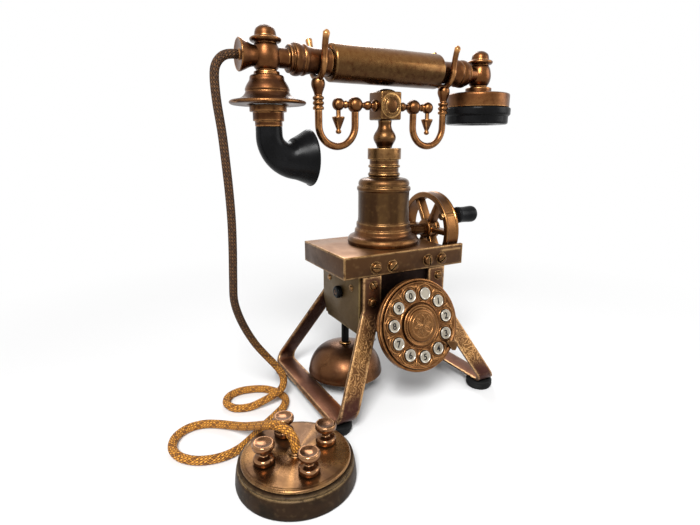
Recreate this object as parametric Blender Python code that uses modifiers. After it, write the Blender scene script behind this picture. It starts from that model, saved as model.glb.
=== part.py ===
"""Desk telephone: a lifting cradle on a brass column, a finger dial, a magneto crank, a bell gong,
and a cloth cord to a round terminal block. Metres, +Z up, front towards -Y."""
import math

import bmesh
import bpy
import numpy as np
from mathutils import Vector

# Fits, and how finely round things are cut
gap = 0.0003
weld = 0.00001
overrun = 0.002
large_steps = 24
round_steps = 18
small_steps = 12
tiny_steps = 8
soft_edge = 0.0006

# Stand: plate, body box, strap legs and feet
plate_w = 0.121
plate_d = 0.078
plate_h = 0.0184
plate_under_z = 0.118
plate_wall = 0.0036
plate_sheet = 0.004
notch_w = 0.0205
side_t = 0.0019
side_inset = 0.0165
side_drop = 0.0515
side_corner = 0.009
side_margin = 0.0165
panel_t = 0.002
strap_w = 0.0173
strap_t = 0.003
strap_inset = 0.02735
strap_set_back = 0.0015
knee_drop = 0.029
knee_bend_r = 0.012
foot_bend_r = 0.0085
leg_spread = 0.034
leg_splay = 0.0425
foot_r = 0.0118
foot_h = 0.008
foot_set_back = 0.016
foot_shares = [(0, 1), (0.9, 1), (1, 0.88), (1, 0.3), (0.88, 0), (0, 0)]

# Column: bell-shaped housing, beaded collar, spring
housing_r = 0.03215
housing_h = 0.0575
housing_wall_r = 0.0195
housing_neck_r = 0.0128
housing_shares = [(0.52, 1), (0.64, 0.985), (0.69, 0.94), (0.7, 0.9), (0.68, 0.885), (0.73, 0.865),
                  (0.735, 0.82), (0.705, 0.8), (0.705, 0.335), (0.745, 0.32), (0.745, 0.235),
                  (0.79, 0.215), (0.8, 0.15), (0.96, 0.1), (1, 0.055), (0.98, 0)]
collar_r = 0.01445
collar_h = 0.0248
collar_shares = [(1, 1), (1, 0.63), (0.88, 0.61), (0.88, 0.44), (0.96, 0.41), (0.96, 0.36), (0.88, 0.33),
                 (0.88, 0.18), (0.97, 0.14), (0.97, 0.07), (0.9, 0.03), (1.03, 0)]
sleeve_r = 0.0092
sleeve_drop = 0.028
plunger_r = 0.0052
plunger_drop = 0.0195
spring_seat_t = 0.003
spring_hole_r = 0.0025
spring_turns = 6
spring_wire_r = 0.0005

# Cradle: baluster stem, cube head, ball arms, hooks with forks, pendants
stem_r = 0.0099
stem_h = 0.0226
stem_shares = [(0.6, 1), (0.56, 0.82), (0.64, 0.68), (0.9, 0.52), (1, 0.38), (0.92, 0.25), (0.68, 0.1),
               (0.66, 0)]
head_w = 0.020
head_h = 0.0225
head_bevel = 0.0012
boss_r = 0.009
boss_out = 0.0026
boss_shares = [(0, 1), (0.42, 0.9), (0.62, 0.5), (0.66, 0.3), (0.84, 0.3), (1, 0), (1, -0.6), (0, -0.6)]
crown_shares = [(0, 1), (0.5, 0.8), (0.9, 0.15), (0.95, -0.6), (0, -0.6)]
mid_ball_x = 0.0292
mid_ball_r = 0.0064
end_ball_x = 0.0446
end_ball_r = 0.0051
arm_neck_r = 0.0022
arm_bead_r = 0.0036
arm_root_r = 0.0048
hook_r = 0.0165
hook_straight = 0.0164
hook_wire_r = 0.003
socket_depth = 0.0024
fork_base_drop = 0.0052
fork_cup_rise = 0.0185
fork_cup_r = 0.0054
fork_shares = [(0, 1), (0.8, 1), (0.98, 0.9), (1, 0.74), (0.62, 0.52), (0.58, 0.46), (0.8, 0.42), (0.8, 0.34),
               (0.6, 0.3), (0.8, 0.26), (0.8, 0.18), (0.6, 0.14), (0.8, 0.1), (0.8, 0.02), (0.5, 0), (0, 0)]
prong_wire_r = 0.0026
prong_rise = 0.0182
prong_lean = 0.0042
pendant_r = 0.0052
pendant_h = 0.0202
pendant_shares = [(0, 1), (0.36, 1), (0.36, 0.68), (1, 0.66), (1, 0.6), (0.3, 0.18), (0.46, 0.11),
                  (0.4, 0.03), (0, 0)]

# Handset: grip tube, end fittings, ball joints, gland
fork_rise = 0.0306
grip_half = 0.053
grip_r = 0.0144
grip_wall = 0.002
grip_corner = 0.004
spigot_len = 0.012
ball_x = 0.1035
ball_r = 0.0097
stem_tube_r = 0.0071
end_neck_r = 0.0093
end_shares = [(0, 1), (0.6, 1), (0.6, 0.67), (0.82, 0.665), (0.84, 0.6), (0.8, 0.56), (0.97, 0.53),
              (1, 0.38), (0.9, 0.32)]
end_bulge_r = 0.0118
end_neck_out = 0.0095
ball_socket = 0.004
finial_r = 0.0115
finial_h = 0.0213
ball_drop = 0.0099
ball_shares = [(0, 1), (0.4, 0.98), (0.63, 0.84), (0.68, 0.7), (0.7, 0.62), (0.96, 0.6), (1, 0.53),
               (0.96, 0.43), (0.78, 0.39), (0.82, 0.25), (0.85, 0.02)]
ball_low_shares = [(0.85, -0.25), (0.8, -0.6), (0.74, -1), (0, -1)]
gland_r = 0.0115
gland_len = 0.015
gland_shares = [(0, 1), (0.93, 1), (1, 0.96), (0.98, 0.88), (0.72, 0.68), (0.62, 0.5)]

# Transmitter and receiver
bell_r = 0.0284
bell_h = 0.0232
bell_wall = 0.0016
bell_shares = [(0, 1), (0.33, 1), (0.34, 0.9), (0.43, 0.88), (0.45, 0.77), (0.53, 0.6), (0.58, 0.46),
               (0.565, 0.4), (0.585, 0.33), (0.7, 0.19), (0.96, 0.13), (1, 0.05), (0.96, 0)]
bell_inner_shares = [(0.52, 0.12), (0.5, 0.38), (0.4, 0.68), (0, 0.78)]
capsule_r = 0.0118
capsule_h = 0.0075
throat_r = 0.0138
throat_h = 0.0152
throat_bore_r = 0.0078
throat_shares = [(1, 1), (1, 0.7), (0.84, 0.69), (0.84, 0.26), (0.74, 0.25), (0.74, 0)]
horn_top_r = 0.010
horn_mouth_r = 0.022
horn_bend_r = 0.018
horn_straight = 0.006
horn_reach = 0.0139
horn_lift = 0.0008
horn_wall = 0.0016
horn_flare_power = 2.3
cup_r = 0.029
cup_h = 0.0183
cup_wall = 0.0018
cup_neck_r = 0.012
cup_shares = [(0, 1), (0.33, 1), (0.34, 0.97), (0.41, 0.95), (0.41, 0.7), (0.92, 0.68), (1, 0.6), (1, 0)]
earpiece_r = 0.0306
earpiece_h = 0.015
earpiece_hole_r = 0.006
earpiece_shares = [(0.96, 1), (1, 0.9), (1, 0.58), (0.94, 0.5), (0.94, 0.06), (0.9, 0)]
earpiece_dish_shares = [(0.55, 0.02), (0.4, 0.3)]
magnet_r = 0.020
magnet_h = 0.0075

# Dial
dial_tilt = math.radians(14.9)
dial_z = 0.0772
dial_front = 0.0224
case_r = 0.039
case_depth = 0.0132
case_shares = [(1, 1), (1, 0.55), (0.93, 0.48), (0.93, 0.2), (0.85, 0.13), (0.85, 0)]
case_wall = 0.0018
wheel_rest = 0.003
wheel_plate_t = 0.0022
case_rim_w = 0.0026
stud_inset = 0.0099
stud_r = 0.0052
stud_count = 11
stud_phase = math.radians(16.46)
stud_top = 0.0009
ring_disc_inset = 0.0022
ring_disc_t = 0.002
spindle_r = 0.0029
cap_clear = 0.0038
cap_h = 0.0031
cap_shares = [(0, 1), (0.5, 0.94), (0.74, 0.7), (0.8, 0.3), (0.86, 0.26), (0.97, 0.34), (1, 0)]
stop_angle = math.radians(128)
stop_w = 0.0085
stop_in = 0.0085
stop_foot_t = 0.0022
stop_blade_t = 0.0014
stop_clear = 0.0016
bracket_w = 0.030
bracket_h = 0.026

# Crank and magneto
crank_rise = 0.0082
crank_wheel_clear = 0.0005
crank_wheel_gap = 0.0053
crank_wheel_t = 0.0137
rim_t = 0.0052
hub_r = 0.0092
spoke_w = 0.0048
spoke_count = 6
crank_shaft_r = 0.003
crank_shaft_in = 0.021
crank_shaft_out = 0.003
crank_bush_r = 0.0052
crank_bush_in = 0.018
pin_inset = 0.0038
pin_angle = math.radians(150)
pin_r = 0.0019
pin_boss_r = 0.0036
pin_boss_out = 0.0015
pin_head_r = 0.0036
pin_head_t = 0.0022
handle_r = 0.0075
handle_len = 0.0208
handle_shares = [(0.72, 1), (0.93, 0.95), (1, 0.86), (1, 0.03), (0.94, 0)]
roller_r = 0.0134
roller_hub_r = 0.006
armature_r = 0.0105
armature_half = 0.022
armature_shaft_r = 0.0022
bush_r = 0.0056
bush_t = 0.0046

# Bell: gong, post, coils, clapper
gong_inset = 0.0103
gong_y = 0.010
gong_r = 0.0347
gong_top_z = 0.0414
gong_h = 0.0278
gong_wall = 0.0018
gong_shares = [(0.16, 1), (0.4, 0.955), (0.63, 0.84), (0.82, 0.64), (0.94, 0.38), (0.985, 0.12), (1, 0)]
gong_hole_r = 0.0024
post_r = 0.0035
post_screw_r = 0.002
post_washer_r = 0.0058
post_washer_t = 0.0012
coil_r = 0.0072
coil_h = 0.017
coil_back = 0.0132
coil_spread = 0.018
yoke_under_z = 0.0705
yoke_t = 0.004
yoke_w = 0.044
yoke_front_y = 0.002
clapper_inset = 0.003
clapper_wire_r = 0.001
clapper_drop = 0.033
clapper_head_r = 0.002
clapper_reach = 0.008

# Terminal block on the desk, with the cord between it and the handset
block_x = 0.125
block_y = 0.090
block_r = 0.0415
block_h = 0.0165
block_shares = [(0, 1), (0.93, 1), (0.955, 0.94), (0.955, 0.86), (0.935, 0.83), (0.965, 0.79), (1, 0.1),
                (0.985, 0), (0, 0)]
disc_r = 0.0375
disc_t = 0.0022
disc_shares = [(0.955, 1), (1, 0.45), (1, 0)]
ferrule_r = 0.0058
ferrule_h = 0.0022
stud_pin_r = 0.0017
stud_pin_h = 0.007
nut_circle_r = 0.0226
nut_r = 0.0075
nut_h = 0.0155
nut_shares = [(0, 1), (0.6, 0.95), (0.98, 0.8), (1, 0.72), (0.86, 0.62), (0.38, 0.54), (0.36, 0.4),
              (0.6, 0.34), (0.92, 0.26), (0.94, 0.06), (0.88, 0)]
nut_bore_clear = 0.0004
cord_r = 0.00325
cord_step_diameters = 1.6
# The cord's route, from the gland down to the desk, round two loops and into the block's ferrule
cord_route = [
    (-0.1280, 0.0000, 0.2844), (-0.1314, 0.0001, 0.2839), (-0.1347, 0.0002, 0.2826), (-0.1376, 0.0003, 0.2802),
    (-0.1399, 0.0004, 0.2769), (-0.1413, 0.0005, 0.2724), (-0.1417, 0.0007, 0.2640), (-0.1409, 0.0008, 0.2500),
    (-0.1388, 0.0010, 0.2310), (-0.1374, 0.0012, 0.2100), (-0.1362, 0.0016, 0.1880), (-0.1356, 0.0022, 0.1660),
    (-0.1359, 0.0032, 0.1430), (-0.1366, 0.0050, 0.1190), (-0.1362, 0.0082, 0.1010), (-0.1322, 0.0122, 0.0855),
    (-0.1254, 0.0164, 0.0690), (-0.1168, 0.0204, 0.0530), (-0.1080, 0.0222, 0.0400), (-0.1006, 0.0206, 0.0300),
    (-0.0960, 0.0156, 0.0224), (-0.0964, 0.0096, 0.0166), (-0.1006, 0.0054, 0.0126), (-0.1084, 0.0036, 0.0096),
    (-0.1206, 0.0040, 0.0056), (-0.1305, 0.0052, 0.0034), (-0.1410, 0.0094, 0.0034), (-0.1454, 0.0200, 0.0034),
    (-0.1412, 0.0304, 0.0034), (-0.1305, 0.0352, 0.0034), (-0.1186, 0.0334, 0.0034), (-0.1076, 0.0274, 0.0034),
    (-0.0998, 0.0166, 0.0034), (-0.0976, 0.0040, 0.0034), (-0.1036, -0.0080, 0.0034), (-0.1146, -0.0176, 0.0034),
    (-0.1276, -0.0274, 0.0034), (-0.1414, -0.0388, 0.0034), (-0.1540, -0.0470, 0.0034), (-0.1680, -0.0496, 0.0034),
    (-0.1824, -0.0456, 0.0034), (-0.1930, -0.0356, 0.0034), (-0.1966, -0.0224, 0.0034), (-0.1924, -0.0094, 0.0034),
    (-0.1820, -0.0018, 0.0034), (-0.1696, -0.0018, 0.0034), (-0.1586, -0.0084, 0.0038), (-0.1506, -0.0184, 0.0058),
    (-0.1450, -0.0300, 0.0100), (-0.1410, -0.0420, 0.0160), (-0.1389, -0.0540, 0.0228), (-0.1376, -0.0640, 0.0286),
    (-0.1354, -0.0724, 0.0330), (-0.1319, -0.0790, 0.0348), (-0.1283, -0.0848, 0.0330), (-0.1258, -0.0887, 0.0282),
    (-0.1250, -0.0900, 0.0225),
]

phone = bpy.data.collections.new("desk_telephone")
shaping = bpy.data.collections.new("shaping_tools")


def clear_scene():
    """Empty the scene and hang the two collections in it."""
    for obj in list(bpy.data.objects):
        bpy.data.objects.remove(obj)
    bpy.context.scene.collection.children.link(phone)
    bpy.context.scene.collection.children.link(shaping)


def finish(name, colour, roughness, metallic):
    """A Principled material."""
    material = bpy.data.materials.new(name)
    material.use_nodes = True
    shader = material.node_tree.nodes["Principled BSDF"]
    shader.inputs["Base Color"].default_value = (*colour, 1)
    shader.inputs["Roughness"].default_value = roughness
    shader.inputs["Metallic"].default_value = metallic
    material.diffuse_color = (*colour, 1)
    return material


def make_finishes():
    """The telephone's finishes, by name."""
    return {
        "bronze": finish("aged_bronze", (0.36, 0.19, 0.09), 0.35, 1),
        "brass": finish("olive_brass", (0.42, 0.29, 0.14), 0.32, 1),
        "copper": finish("worn_copper", (0.48, 0.22, 0.11), 0.38, 1),
        "sheet": finish("brown_sheet", (0.25, 0.13, 0.07), 0.5, 1),
        "iron": finish("dark_iron", (0.06, 0.035, 0.025), 0.55, 1),
        "ebonite": finish("black_ebonite", (0.012, 0.012, 0.013), 0.22, 0),
        "rubber": finish("black_rubber", (0.02, 0.02, 0.02), 0.7, 0),
        "silver": finish("silver_disc", (0.62, 0.6, 0.55), 0.3, 1),
        "steel": finish("bright_steel", (0.5, 0.48, 0.45), 0.35, 1),
        "winding": finish("coil_winding", (0.2, 0.03, 0.02), 0.6, 0),
        "wood": finish("dark_wood", (0.05, 0.03, 0.02), 0.5, 0),
        "cloth": finish("cord_cloth", (0.28, 0.13, 0.04), 0.85, 0),
    }


def frame_at(name, place, parent=None, turn=(0, 0, 0)):
    """An empty that a moving group hangs on."""
    empty = bpy.data.objects.new(name, None)
    phone.objects.link(empty)
    empty.parent = parent
    empty.location = place
    empty.rotation_euler = turn
    empty.empty_display_size = hub_r
    return empty


def add(name, data, material, parent, place, turn):
    """Put a new object with its material in the telephone's collection."""
    obj = bpy.data.objects.new(name, data)
    phone.objects.link(obj)
    obj.parent = parent
    obj.location = place
    obj.rotation_euler = turn
    data.materials.append(material)
    return obj


def from_shares(shares, radius, height, base=0.0):
    """Real (radius, height) points of an outline given in shares."""
    return [(radius * r, base + height * z) for r, z in shares]


def turned(name, points, material, parent, place=(0, 0, 0), turn=(0, 0, 0), steps=round_steps, ring=False):
    """Turn a profile, listed down its outer side, about the local Z axis. A ring's profile is closed."""
    mesh = bpy.data.meshes.new(name)
    bm = bmesh.new()
    verts = [bm.verts.new((r, 0, z)) for r, z in points]
    for start, end in zip(verts, verts[1:]):
        bm.edges.new((start, end))
    if ring:
        bm.edges.new((verts[-1], verts[0]))
    bm.to_mesh(mesh)
    bm.free()
    obj = add(name, mesh, material, parent, place, turn)
    screw = obj.modifiers.new("turn", "SCREW")
    screw.steps = steps
    screw.render_steps = steps
    screw.use_merge_vertices = True
    screw.merge_threshold = weld
    return obj


def block(name, size, material, parent, place=(0, 0, 0), bevel=0.0):
    """A box, centred on its place."""
    mesh = bpy.data.meshes.new(name)
    bm = bmesh.new()
    bmesh.ops.create_cube(bm, size=1)
    bmesh.ops.scale(bm, vec=size, verts=bm.verts)
    bm.to_mesh(mesh)
    bm.free()
    obj = add(name, mesh, material, parent, place, (0, 0, 0))
    if bevel:
        edge = obj.modifiers.new("edge", "BEVEL")
        edge.width = bevel
        edge.segments = 1
    return obj


def rod(name, radius, length, material, parent, place=(0, 0, 0), turn=(0, 0, 0), steps=small_steps):
    """A plain cylinder along its local Z axis, from its place upwards."""
    points = [(0, length), (radius, length), (radius, 0), (0, 0)]
    return turned(name, points, material, parent, place, turn, steps)


def settled_mesh(obj):
    """The object's evaluated mesh, welded, facing outwards, with round faces smooth."""
    graph = bpy.context.evaluated_depsgraph_get()
    mesh = bpy.data.meshes.new_from_object(obj.evaluated_get(graph))
    bm = bmesh.new()
    bm.from_mesh(mesh)
    bmesh.ops.remove_doubles(bm, verts=bm.verts, dist=weld)
    bmesh.ops.recalc_face_normals(bm, faces=bm.faces)
    bm.to_mesh(mesh)
    bm.free()
    mesh.shade_smooth()
    mesh.set_sharp_from_angle(angle=math.radians(35))
    return mesh


def curve_to_mesh(obj):
    """Replace a curve object by a mesh object of the same name and place."""
    mesh = settled_mesh(obj)
    name = obj.name
    parent = obj.parent
    place = obj.location.copy()
    turn = obj.rotation_euler.copy()
    material = obj.data.materials[0]
    curve = obj.data
    bpy.data.objects.remove(obj)
    bpy.data.curves.remove(curve)
    mesh.materials.clear()
    mesh.name = name
    return add(name, mesh, material, parent, place, turn)


def tube(name, points, radius, material, parent, place=(0, 0, 0), turn=(0, 0, 0), resolution=2, radii=None,
         capped=True):
    """A round wire or tube through the points, with closed ends."""
    curve = bpy.data.curves.new(name, "CURVE")
    curve.dimensions = "3D"
    curve.bevel_depth = radius
    curve.bevel_resolution = resolution
    curve.use_fill_caps = capped
    spline = curve.splines.new("POLY")
    spline.points.add(len(points) - 1)
    for index, (point, spot) in enumerate(zip(spline.points, points)):
        point.co = (*spot, 1)
        if radii:
            point.radius = radii[index] / radius
    return curve_to_mesh(add(name, curve, material, parent, place, turn))


def flat(name, outlines, thickness, material, parent, place=(0, 0, 0), turn=(0, 0, 0)):
    """A flat piece: one outer outline and any holes, in the local XY plane, thickness centred on it."""
    curve = bpy.data.curves.new(name, "CURVE")
    curve.dimensions = "2D"
    curve.fill_mode = "BOTH"
    curve.extrude = thickness / 2
    for points in outlines:
        spline = curve.splines.new("POLY")
        spline.points.add(len(points) - 1)
        spline.use_cyclic_u = True
        for point, (x, y) in zip(spline.points, points):
            point.co = (x, y, 0, 1)
    return curve_to_mesh(add(name, curve, material, parent, place, turn))


def shaped_by(obj, tool, operation):
    """Cut the object with a tool, or join the tool to it."""
    phone.objects.unlink(tool)
    shaping.objects.link(tool)
    tool.display_type = "WIRE"
    tool.hide_render = True
    change = obj.modifiers.new(tool.name, "BOOLEAN")
    change.operation = operation
    change.object = tool
    change.solver = "EXACT"


def cut(obj, tool):
    shaped_by(obj, tool, "DIFFERENCE")


def join(obj, tool):
    shaped_by(obj, tool, "UNION")


def circle(radius, steps, centre=(0, 0), phase=0.0):
    """Points round a circle."""
    angles = [phase + math.tau * step / steps for step in range(steps)]
    return [(centre[0] + radius * math.cos(a), centre[1] + radius * math.sin(a)) for a in angles]


def rounded(corners, radii, steps=4):
    """A path through corner points with its inner corners rounded by the given radii."""
    path = [Vector(corners[0])]
    for before, corner, after, radius in zip(corners, corners[1:], corners[2:], radii):
        corner = Vector(corner)
        back = (Vector(before) - corner).normalized()
        ahead = (Vector(after) - corner).normalized()
        half = back.angle(ahead) / 2
        reach = radius / math.tan(half)
        centre = corner + (back + ahead).normalized() * (radius / math.sin(half))
        first = corner + back * reach - centre
        last = corner + ahead * reach - centre
        turn = first.angle(last)
        for step in range(steps + 1):
            share = step / steps
            path.append(centre + (first * math.sin((1 - share) * turn) + last * math.sin(share * turn))
                        / math.sin(turn))
    path.append(Vector(corners[-1]))
    return path


def thickened(path, thickness):
    """A closed outline: the path, and the same path moved to its left by the thickness."""
    inner = []
    for index, point in enumerate(path):
        before = (point - path[index - 1]).normalized() if index else None
        after = (path[index + 1] - point).normalized() if index < len(path) - 1 else None
        along = ((before or after) + (after or before)).normalized()
        left = Vector((-along.y, along.x))
        side = Vector((-(before or after).y, (before or after).x))
        inner.append(point + left * (thickness / left.dot(side)))
    return [tuple(p) for p in path] + [tuple(p) for p in reversed(inner)]


# Places that several sub-parts share
plate_top_z = plate_under_z + plate_h
plate_right_x = plate_w / 2 - notch_w
strap_x = plate_w / 2 - strap_inset
strap_face_y = plate_d / 2 - strap_set_back
leg_corner_y = strap_face_y + leg_spread
foot_y = leg_corner_y - foot_set_back
dial_y = plate_d / 2 + dial_front
wheel_plate_r = case_r - case_rim_w
stud_circle_r = wheel_plate_r - stud_inset
ring_disc_r = wheel_plate_r - ring_disc_inset
cap_r = stud_circle_r - stud_r - cap_clear
crank_wheel_r = plate_d / 2 - plate_wall - crank_wheel_clear
crank_wheel_x = plate_right_x + crank_wheel_gap
pin_circle_r = crank_wheel_r - pin_inset
panel_face_y = strap_face_y - strap_t - gap
left_plate_x = -(plate_w / 2 - side_inset)
gong_x = -left_plate_x - gong_inset
right_plate_x = plate_right_x - plate_wall
inner_left_x = left_plate_x + side_t + gap
inner_right_x = right_plate_x - gap
panel_top_z = plate_top_z - plate_sheet - gap
body_bottom_z = plate_under_z - side_drop
knee_z = plate_under_z - knee_drop
bar_z = foot_h + gap
foot_x = strap_x + leg_splay
collar_z = plate_top_z + gap + housing_h + gap
collar_top_z = collar_z + collar_h
stem_z = collar_top_z + gap
head_z = stem_z + stem_h + gap
arm_z = head_z + head_h / 2
handset_z = arm_z + fork_rise
fork_x = mid_ball_x + 2 * hook_r
crank_z = plate_top_z + crank_rise
armature_z = crank_z - crank_wheel_r - gap - roller_r
block_top_z = block_h + gap
disc_top_z = block_top_z + disc_t
yoke_top_z = yoke_under_z + yoke_t
coil_y = panel_face_y - coil_back
to_x = (0, math.pi / 2, 0)
to_minus_x = (0, -math.pi / 2, 0)
in_yz = (math.pi / 2, 0, math.pi / 2)
sides = [("left", -1), ("right", 1)]


def make_plate(look, root):
    """The top plate: an inverted tray, cut back at its right end for the crank wheel."""
    left = -plate_w / 2
    front = -plate_d / 2
    outline = [(left, front), (plate_w / 2, front), (plate_w / 2, front + plate_wall),
               (plate_right_x, front + plate_wall), (plate_right_x, plate_d / 2), (left, plate_d / 2)]
    plate = flat("top_plate", [outline], plate_h, look["sheet"], root, (0, 0, plate_under_z + plate_h / 2))
    hollow_w = plate_right_x - plate_wall - (left + plate_wall)
    hollow_h = plate_h - plate_sheet + overrun
    middle_x = (plate_right_x + left) / 2
    size = (hollow_w, plate_d - 2 * plate_wall, hollow_h)
    place = (middle_x, 0, plate_under_z - overrun + hollow_h / 2)
    cut(plate, block("plate_hollow", size, look["sheet"], root, place))


def make_body(look, root):
    """Side plates, front and back panels, and the bush of the armature's shaft."""
    left_y = panel_face_y
    corner = [(-left_y, body_bottom_z + side_corner / 2), (-left_y + side_corner / 2, body_bottom_z),
              (left_y - side_corner, body_bottom_z), (left_y, body_bottom_z + side_margin)]
    left_top = panel_top_z
    right_top = plate_under_z - gap
    for name, x, top in (("left", left_plate_x, left_top), ("right", right_plate_x, right_top)):
        outline = corner + [(left_y, top), (-left_y, top)]
        holes = [circle(armature_shaft_r + gap, tiny_steps, (0, armature_z))]
        flat(f"side_plate_{name}", [outline] + holes, side_t, look["sheet"], root,
             (x + side_t / 2, 0, 0), in_yz)
    width = inner_right_x - inner_left_x
    middle_x = (inner_right_x + inner_left_x) / 2
    tall = panel_top_z - body_bottom_z
    for name, side in (("front", -1), ("back", 1)):
        place = (middle_x, side * (panel_face_y - panel_t / 2), body_bottom_z + tall / 2)
        block(f"{name}_panel", (width, panel_t, tall), look["iron"], root, place)
    ring = [(bush_r * 0.86, bush_t), (bush_r, bush_t * 0.8), (bush_r, 0),
            (armature_shaft_r + gap, 0), (armature_shaft_r + gap, bush_t)]
    turned("armature_bush", ring, look["ebonite"], root, (left_plate_x - gap, 0, armature_z), to_minus_x,
           small_steps, ring=True)


def make_legs(look, root):
    """Two closed strap loops, splayed outwards below the knee, on four round feet."""
    front_top = (-strap_face_y, plate_under_z - gap)
    corners = [front_top, (-strap_face_y, knee_z), (-leg_corner_y, bar_z), (leg_corner_y, bar_z),
               (strap_face_y, knee_z), (strap_face_y, plate_under_z - gap)]
    path = rounded(corners, [knee_bend_r, foot_bend_r, foot_bend_r, knee_bend_r])
    outline = thickened(path, strap_t)
    for name, side in sides:
        loop = flat(f"leg_loop_{name}", [outline], strap_w, look["copper"], root,
                    (side * strap_x, 0, 0), in_yz)
        for vert in loop.data.vertices:
            below = max(0.0, (knee_z - vert.co.y) / (knee_z - bar_z))
            vert.co.z += side * leg_splay * min(1.0, below)
        for end, end_side in (("front", -1), ("back", 1)):
            turned(f"foot_{end}_{name}", from_shares(foot_shares, foot_r, foot_h), look["rubber"], root,
                   (side * foot_x, end_side * foot_y, 0), steps=small_steps)


def make_column(look, root):
    """The bell-shaped housing, the beaded collar with its guide sleeve, and the cradle's spring."""
    base = plate_top_z + gap
    inner_r = housing_wall_r
    neck_r = sleeve_r + gap
    points = from_shares(housing_shares, housing_r, housing_h, base)
    points += [(inner_r * 1.15, base), (inner_r, base + housing_h * 0.3), (inner_r, base + housing_h * 0.78),
               (housing_neck_r, base + housing_h * 0.92), (neck_r, base + housing_h * 0.93),
               (neck_r, base + housing_h)]
    housing = turned("column_housing", points, look["brass"], root, steps=large_steps, ring=True)
    bore = rod("crank_bush_bore", crank_bush_r + gap, housing_r, look["brass"], root,
               (crank_bush_in - overrun, 0, crank_z), to_x)
    cut(housing, bore)
    bottom = collar_z - sleeve_drop
    bore_r = plunger_r + gap
    points = from_shares(collar_shares, collar_r, collar_h, collar_z)
    points += [(sleeve_r, collar_z), (sleeve_r, bottom), (spring_hole_r, bottom),
               (spring_hole_r, bottom + spring_seat_t), (bore_r, bottom + spring_seat_t), (bore_r, collar_top_z)]
    turned("column_collar", points, look["brass"], root, ring=True)
    seat = bottom + spring_seat_t + gap + spring_wire_r
    top = stem_z - plunger_drop - gap - spring_wire_r
    coil_radius = plunger_r - 2 * spring_wire_r
    per_turn = 8
    total = spring_turns * per_turn
    coil = []
    for step in range(total + 1):
        angle = math.tau * step / per_turn
        coil.append((coil_radius * math.cos(angle), coil_radius * math.sin(angle),
                     seat + (top - seat) * step / total))
    tube("hook_spring", coil, spring_wire_r, look["steel"], root, resolution=1)
    print("hook spring: least gap between turns", round((top - seat) / spring_turns - 2 * spring_wire_r, 5))


def make_cradle(look, cradle):
    """The stem, the cube head, and on each side a ball arm, a hook with its fork, and a pendant.
    Heights here are from the stem's foot."""
    points = from_shares(stem_shares, stem_r, stem_h)
    points = [(0, stem_h)] + points + [(plunger_r, 0), (plunger_r, -plunger_drop), (0, -plunger_drop)]
    turned("cradle_stem", points, look["brass"], cradle)
    middle = arm_z - stem_z
    head = block("cradle_head", (head_w, head_w, head_h), look["bronze"], cradle, (0, 0, middle), head_bevel)
    face = head_w / 2
    boss = from_shares(boss_shares, boss_r, boss_out)
    for name, place, turn in (("front", (0, -face, middle), (math.pi / 2, 0, 0)),
                              ("back", (0, face, middle), (-math.pi / 2, 0, 0))):
        join(head, turned(f"{name}_boss", boss, look["bronze"], cradle, place, turn, small_steps))
    crown = from_shares(crown_shares, boss_r, boss_out)
    join(head, turned("crown", crown, look["bronze"], cradle, (0, 0, middle + head_h / 2), steps=small_steps))
    for name, side in sides:
        make_arm(look, cradle, name, side, middle)


def ball_points(centre, radius, start, end, steps=6):
    """Profile points along part of a ball, as (radius, distance), between two distances from its centre."""
    first = math.acos(start / radius)
    last = math.acos(end / radius)
    angles = [first + (last - first) * step / steps for step in range(steps + 1)]
    return [(radius * math.sin(a), centre + radius * math.cos(a)) for a in angles]


def make_arm(look, cradle, name, side, middle):
    """One arm with what it carries."""
    root_x = head_w / 2 + gap
    neck_reach = math.sqrt(mid_ball_r ** 2 - arm_neck_r ** 2)
    end_reach = math.sqrt(end_ball_r ** 2 - arm_neck_r ** 2)
    bead_x = (root_x + mid_ball_x - neck_reach) / 2
    bead_half = arm_bead_r * 0.7
    points = ball_points(end_ball_x, end_ball_r, end_ball_r, -end_reach)
    points += ball_points(mid_ball_x, mid_ball_r, neck_reach, -neck_reach)
    points += [(arm_neck_r, bead_x + bead_half), (arm_bead_r, bead_x + bead_half / 2),
               (arm_bead_r, bead_x - bead_half / 2), (arm_neck_r, bead_x - bead_half),
               (arm_root_r * 0.8, root_x + arm_bead_r / 2), (arm_root_r, root_x), (0, root_x)]
    turn = to_x if side > 0 else to_minus_x
    arm = turned(f"cradle_arm_{name}", points, look["bronze"], cradle, (0, 0, middle), turn, small_steps)
    hook_top = middle - mid_ball_r + socket_depth
    pendant_top = middle - end_ball_r + socket_depth
    pendant_rod = pendant_r * pendant_shares[1][0]
    cut(arm, rod(f"hook_socket_{name}", hook_wire_r + gap, mid_ball_r, look["bronze"], cradle,
                 (side * mid_ball_x, 0, hook_top - mid_ball_r), steps=tiny_steps))
    cut(arm, rod(f"pendant_socket_{name}", pendant_rod + gap, end_ball_r, look["bronze"], cradle,
                 (side * end_ball_x, 0, pendant_top - end_ball_r), steps=tiny_steps))
    centre_x = mid_ball_x + hook_r
    centre_z = middle - hook_straight
    path = [(side * mid_ball_x, 0, hook_top - gap)]
    for step in range(13):
        angle = math.pi + math.pi * step / 12
        path.append((side * (centre_x + hook_r * math.cos(angle)), 0, centre_z + hook_r * math.sin(angle)))
    fork_foot = middle - fork_base_drop
    path.append((side * fork_x, 0, fork_foot + hook_wire_r))
    hook = tube(f"hook_{name}", path, hook_wire_r, look["bronze"], cradle)
    cup = from_shares(fork_shares, fork_cup_r, fork_base_drop + fork_cup_rise)
    join(hook, turned(f"fork_cup_{name}", cup, look["bronze"], cradle, (side * fork_x, 0, fork_foot),
                      steps=tiny_steps))
    join(hook, make_fork(look, cradle, name, side, middle + fork_rise))
    pendant = from_shares(pendant_shares, pendant_r, pendant_h)
    turned(f"pendant_{name}", pendant, look["bronze"], cradle,
           (side * end_ball_x, 0, pendant_top - gap - pendant_h), steps=tiny_steps)


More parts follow.
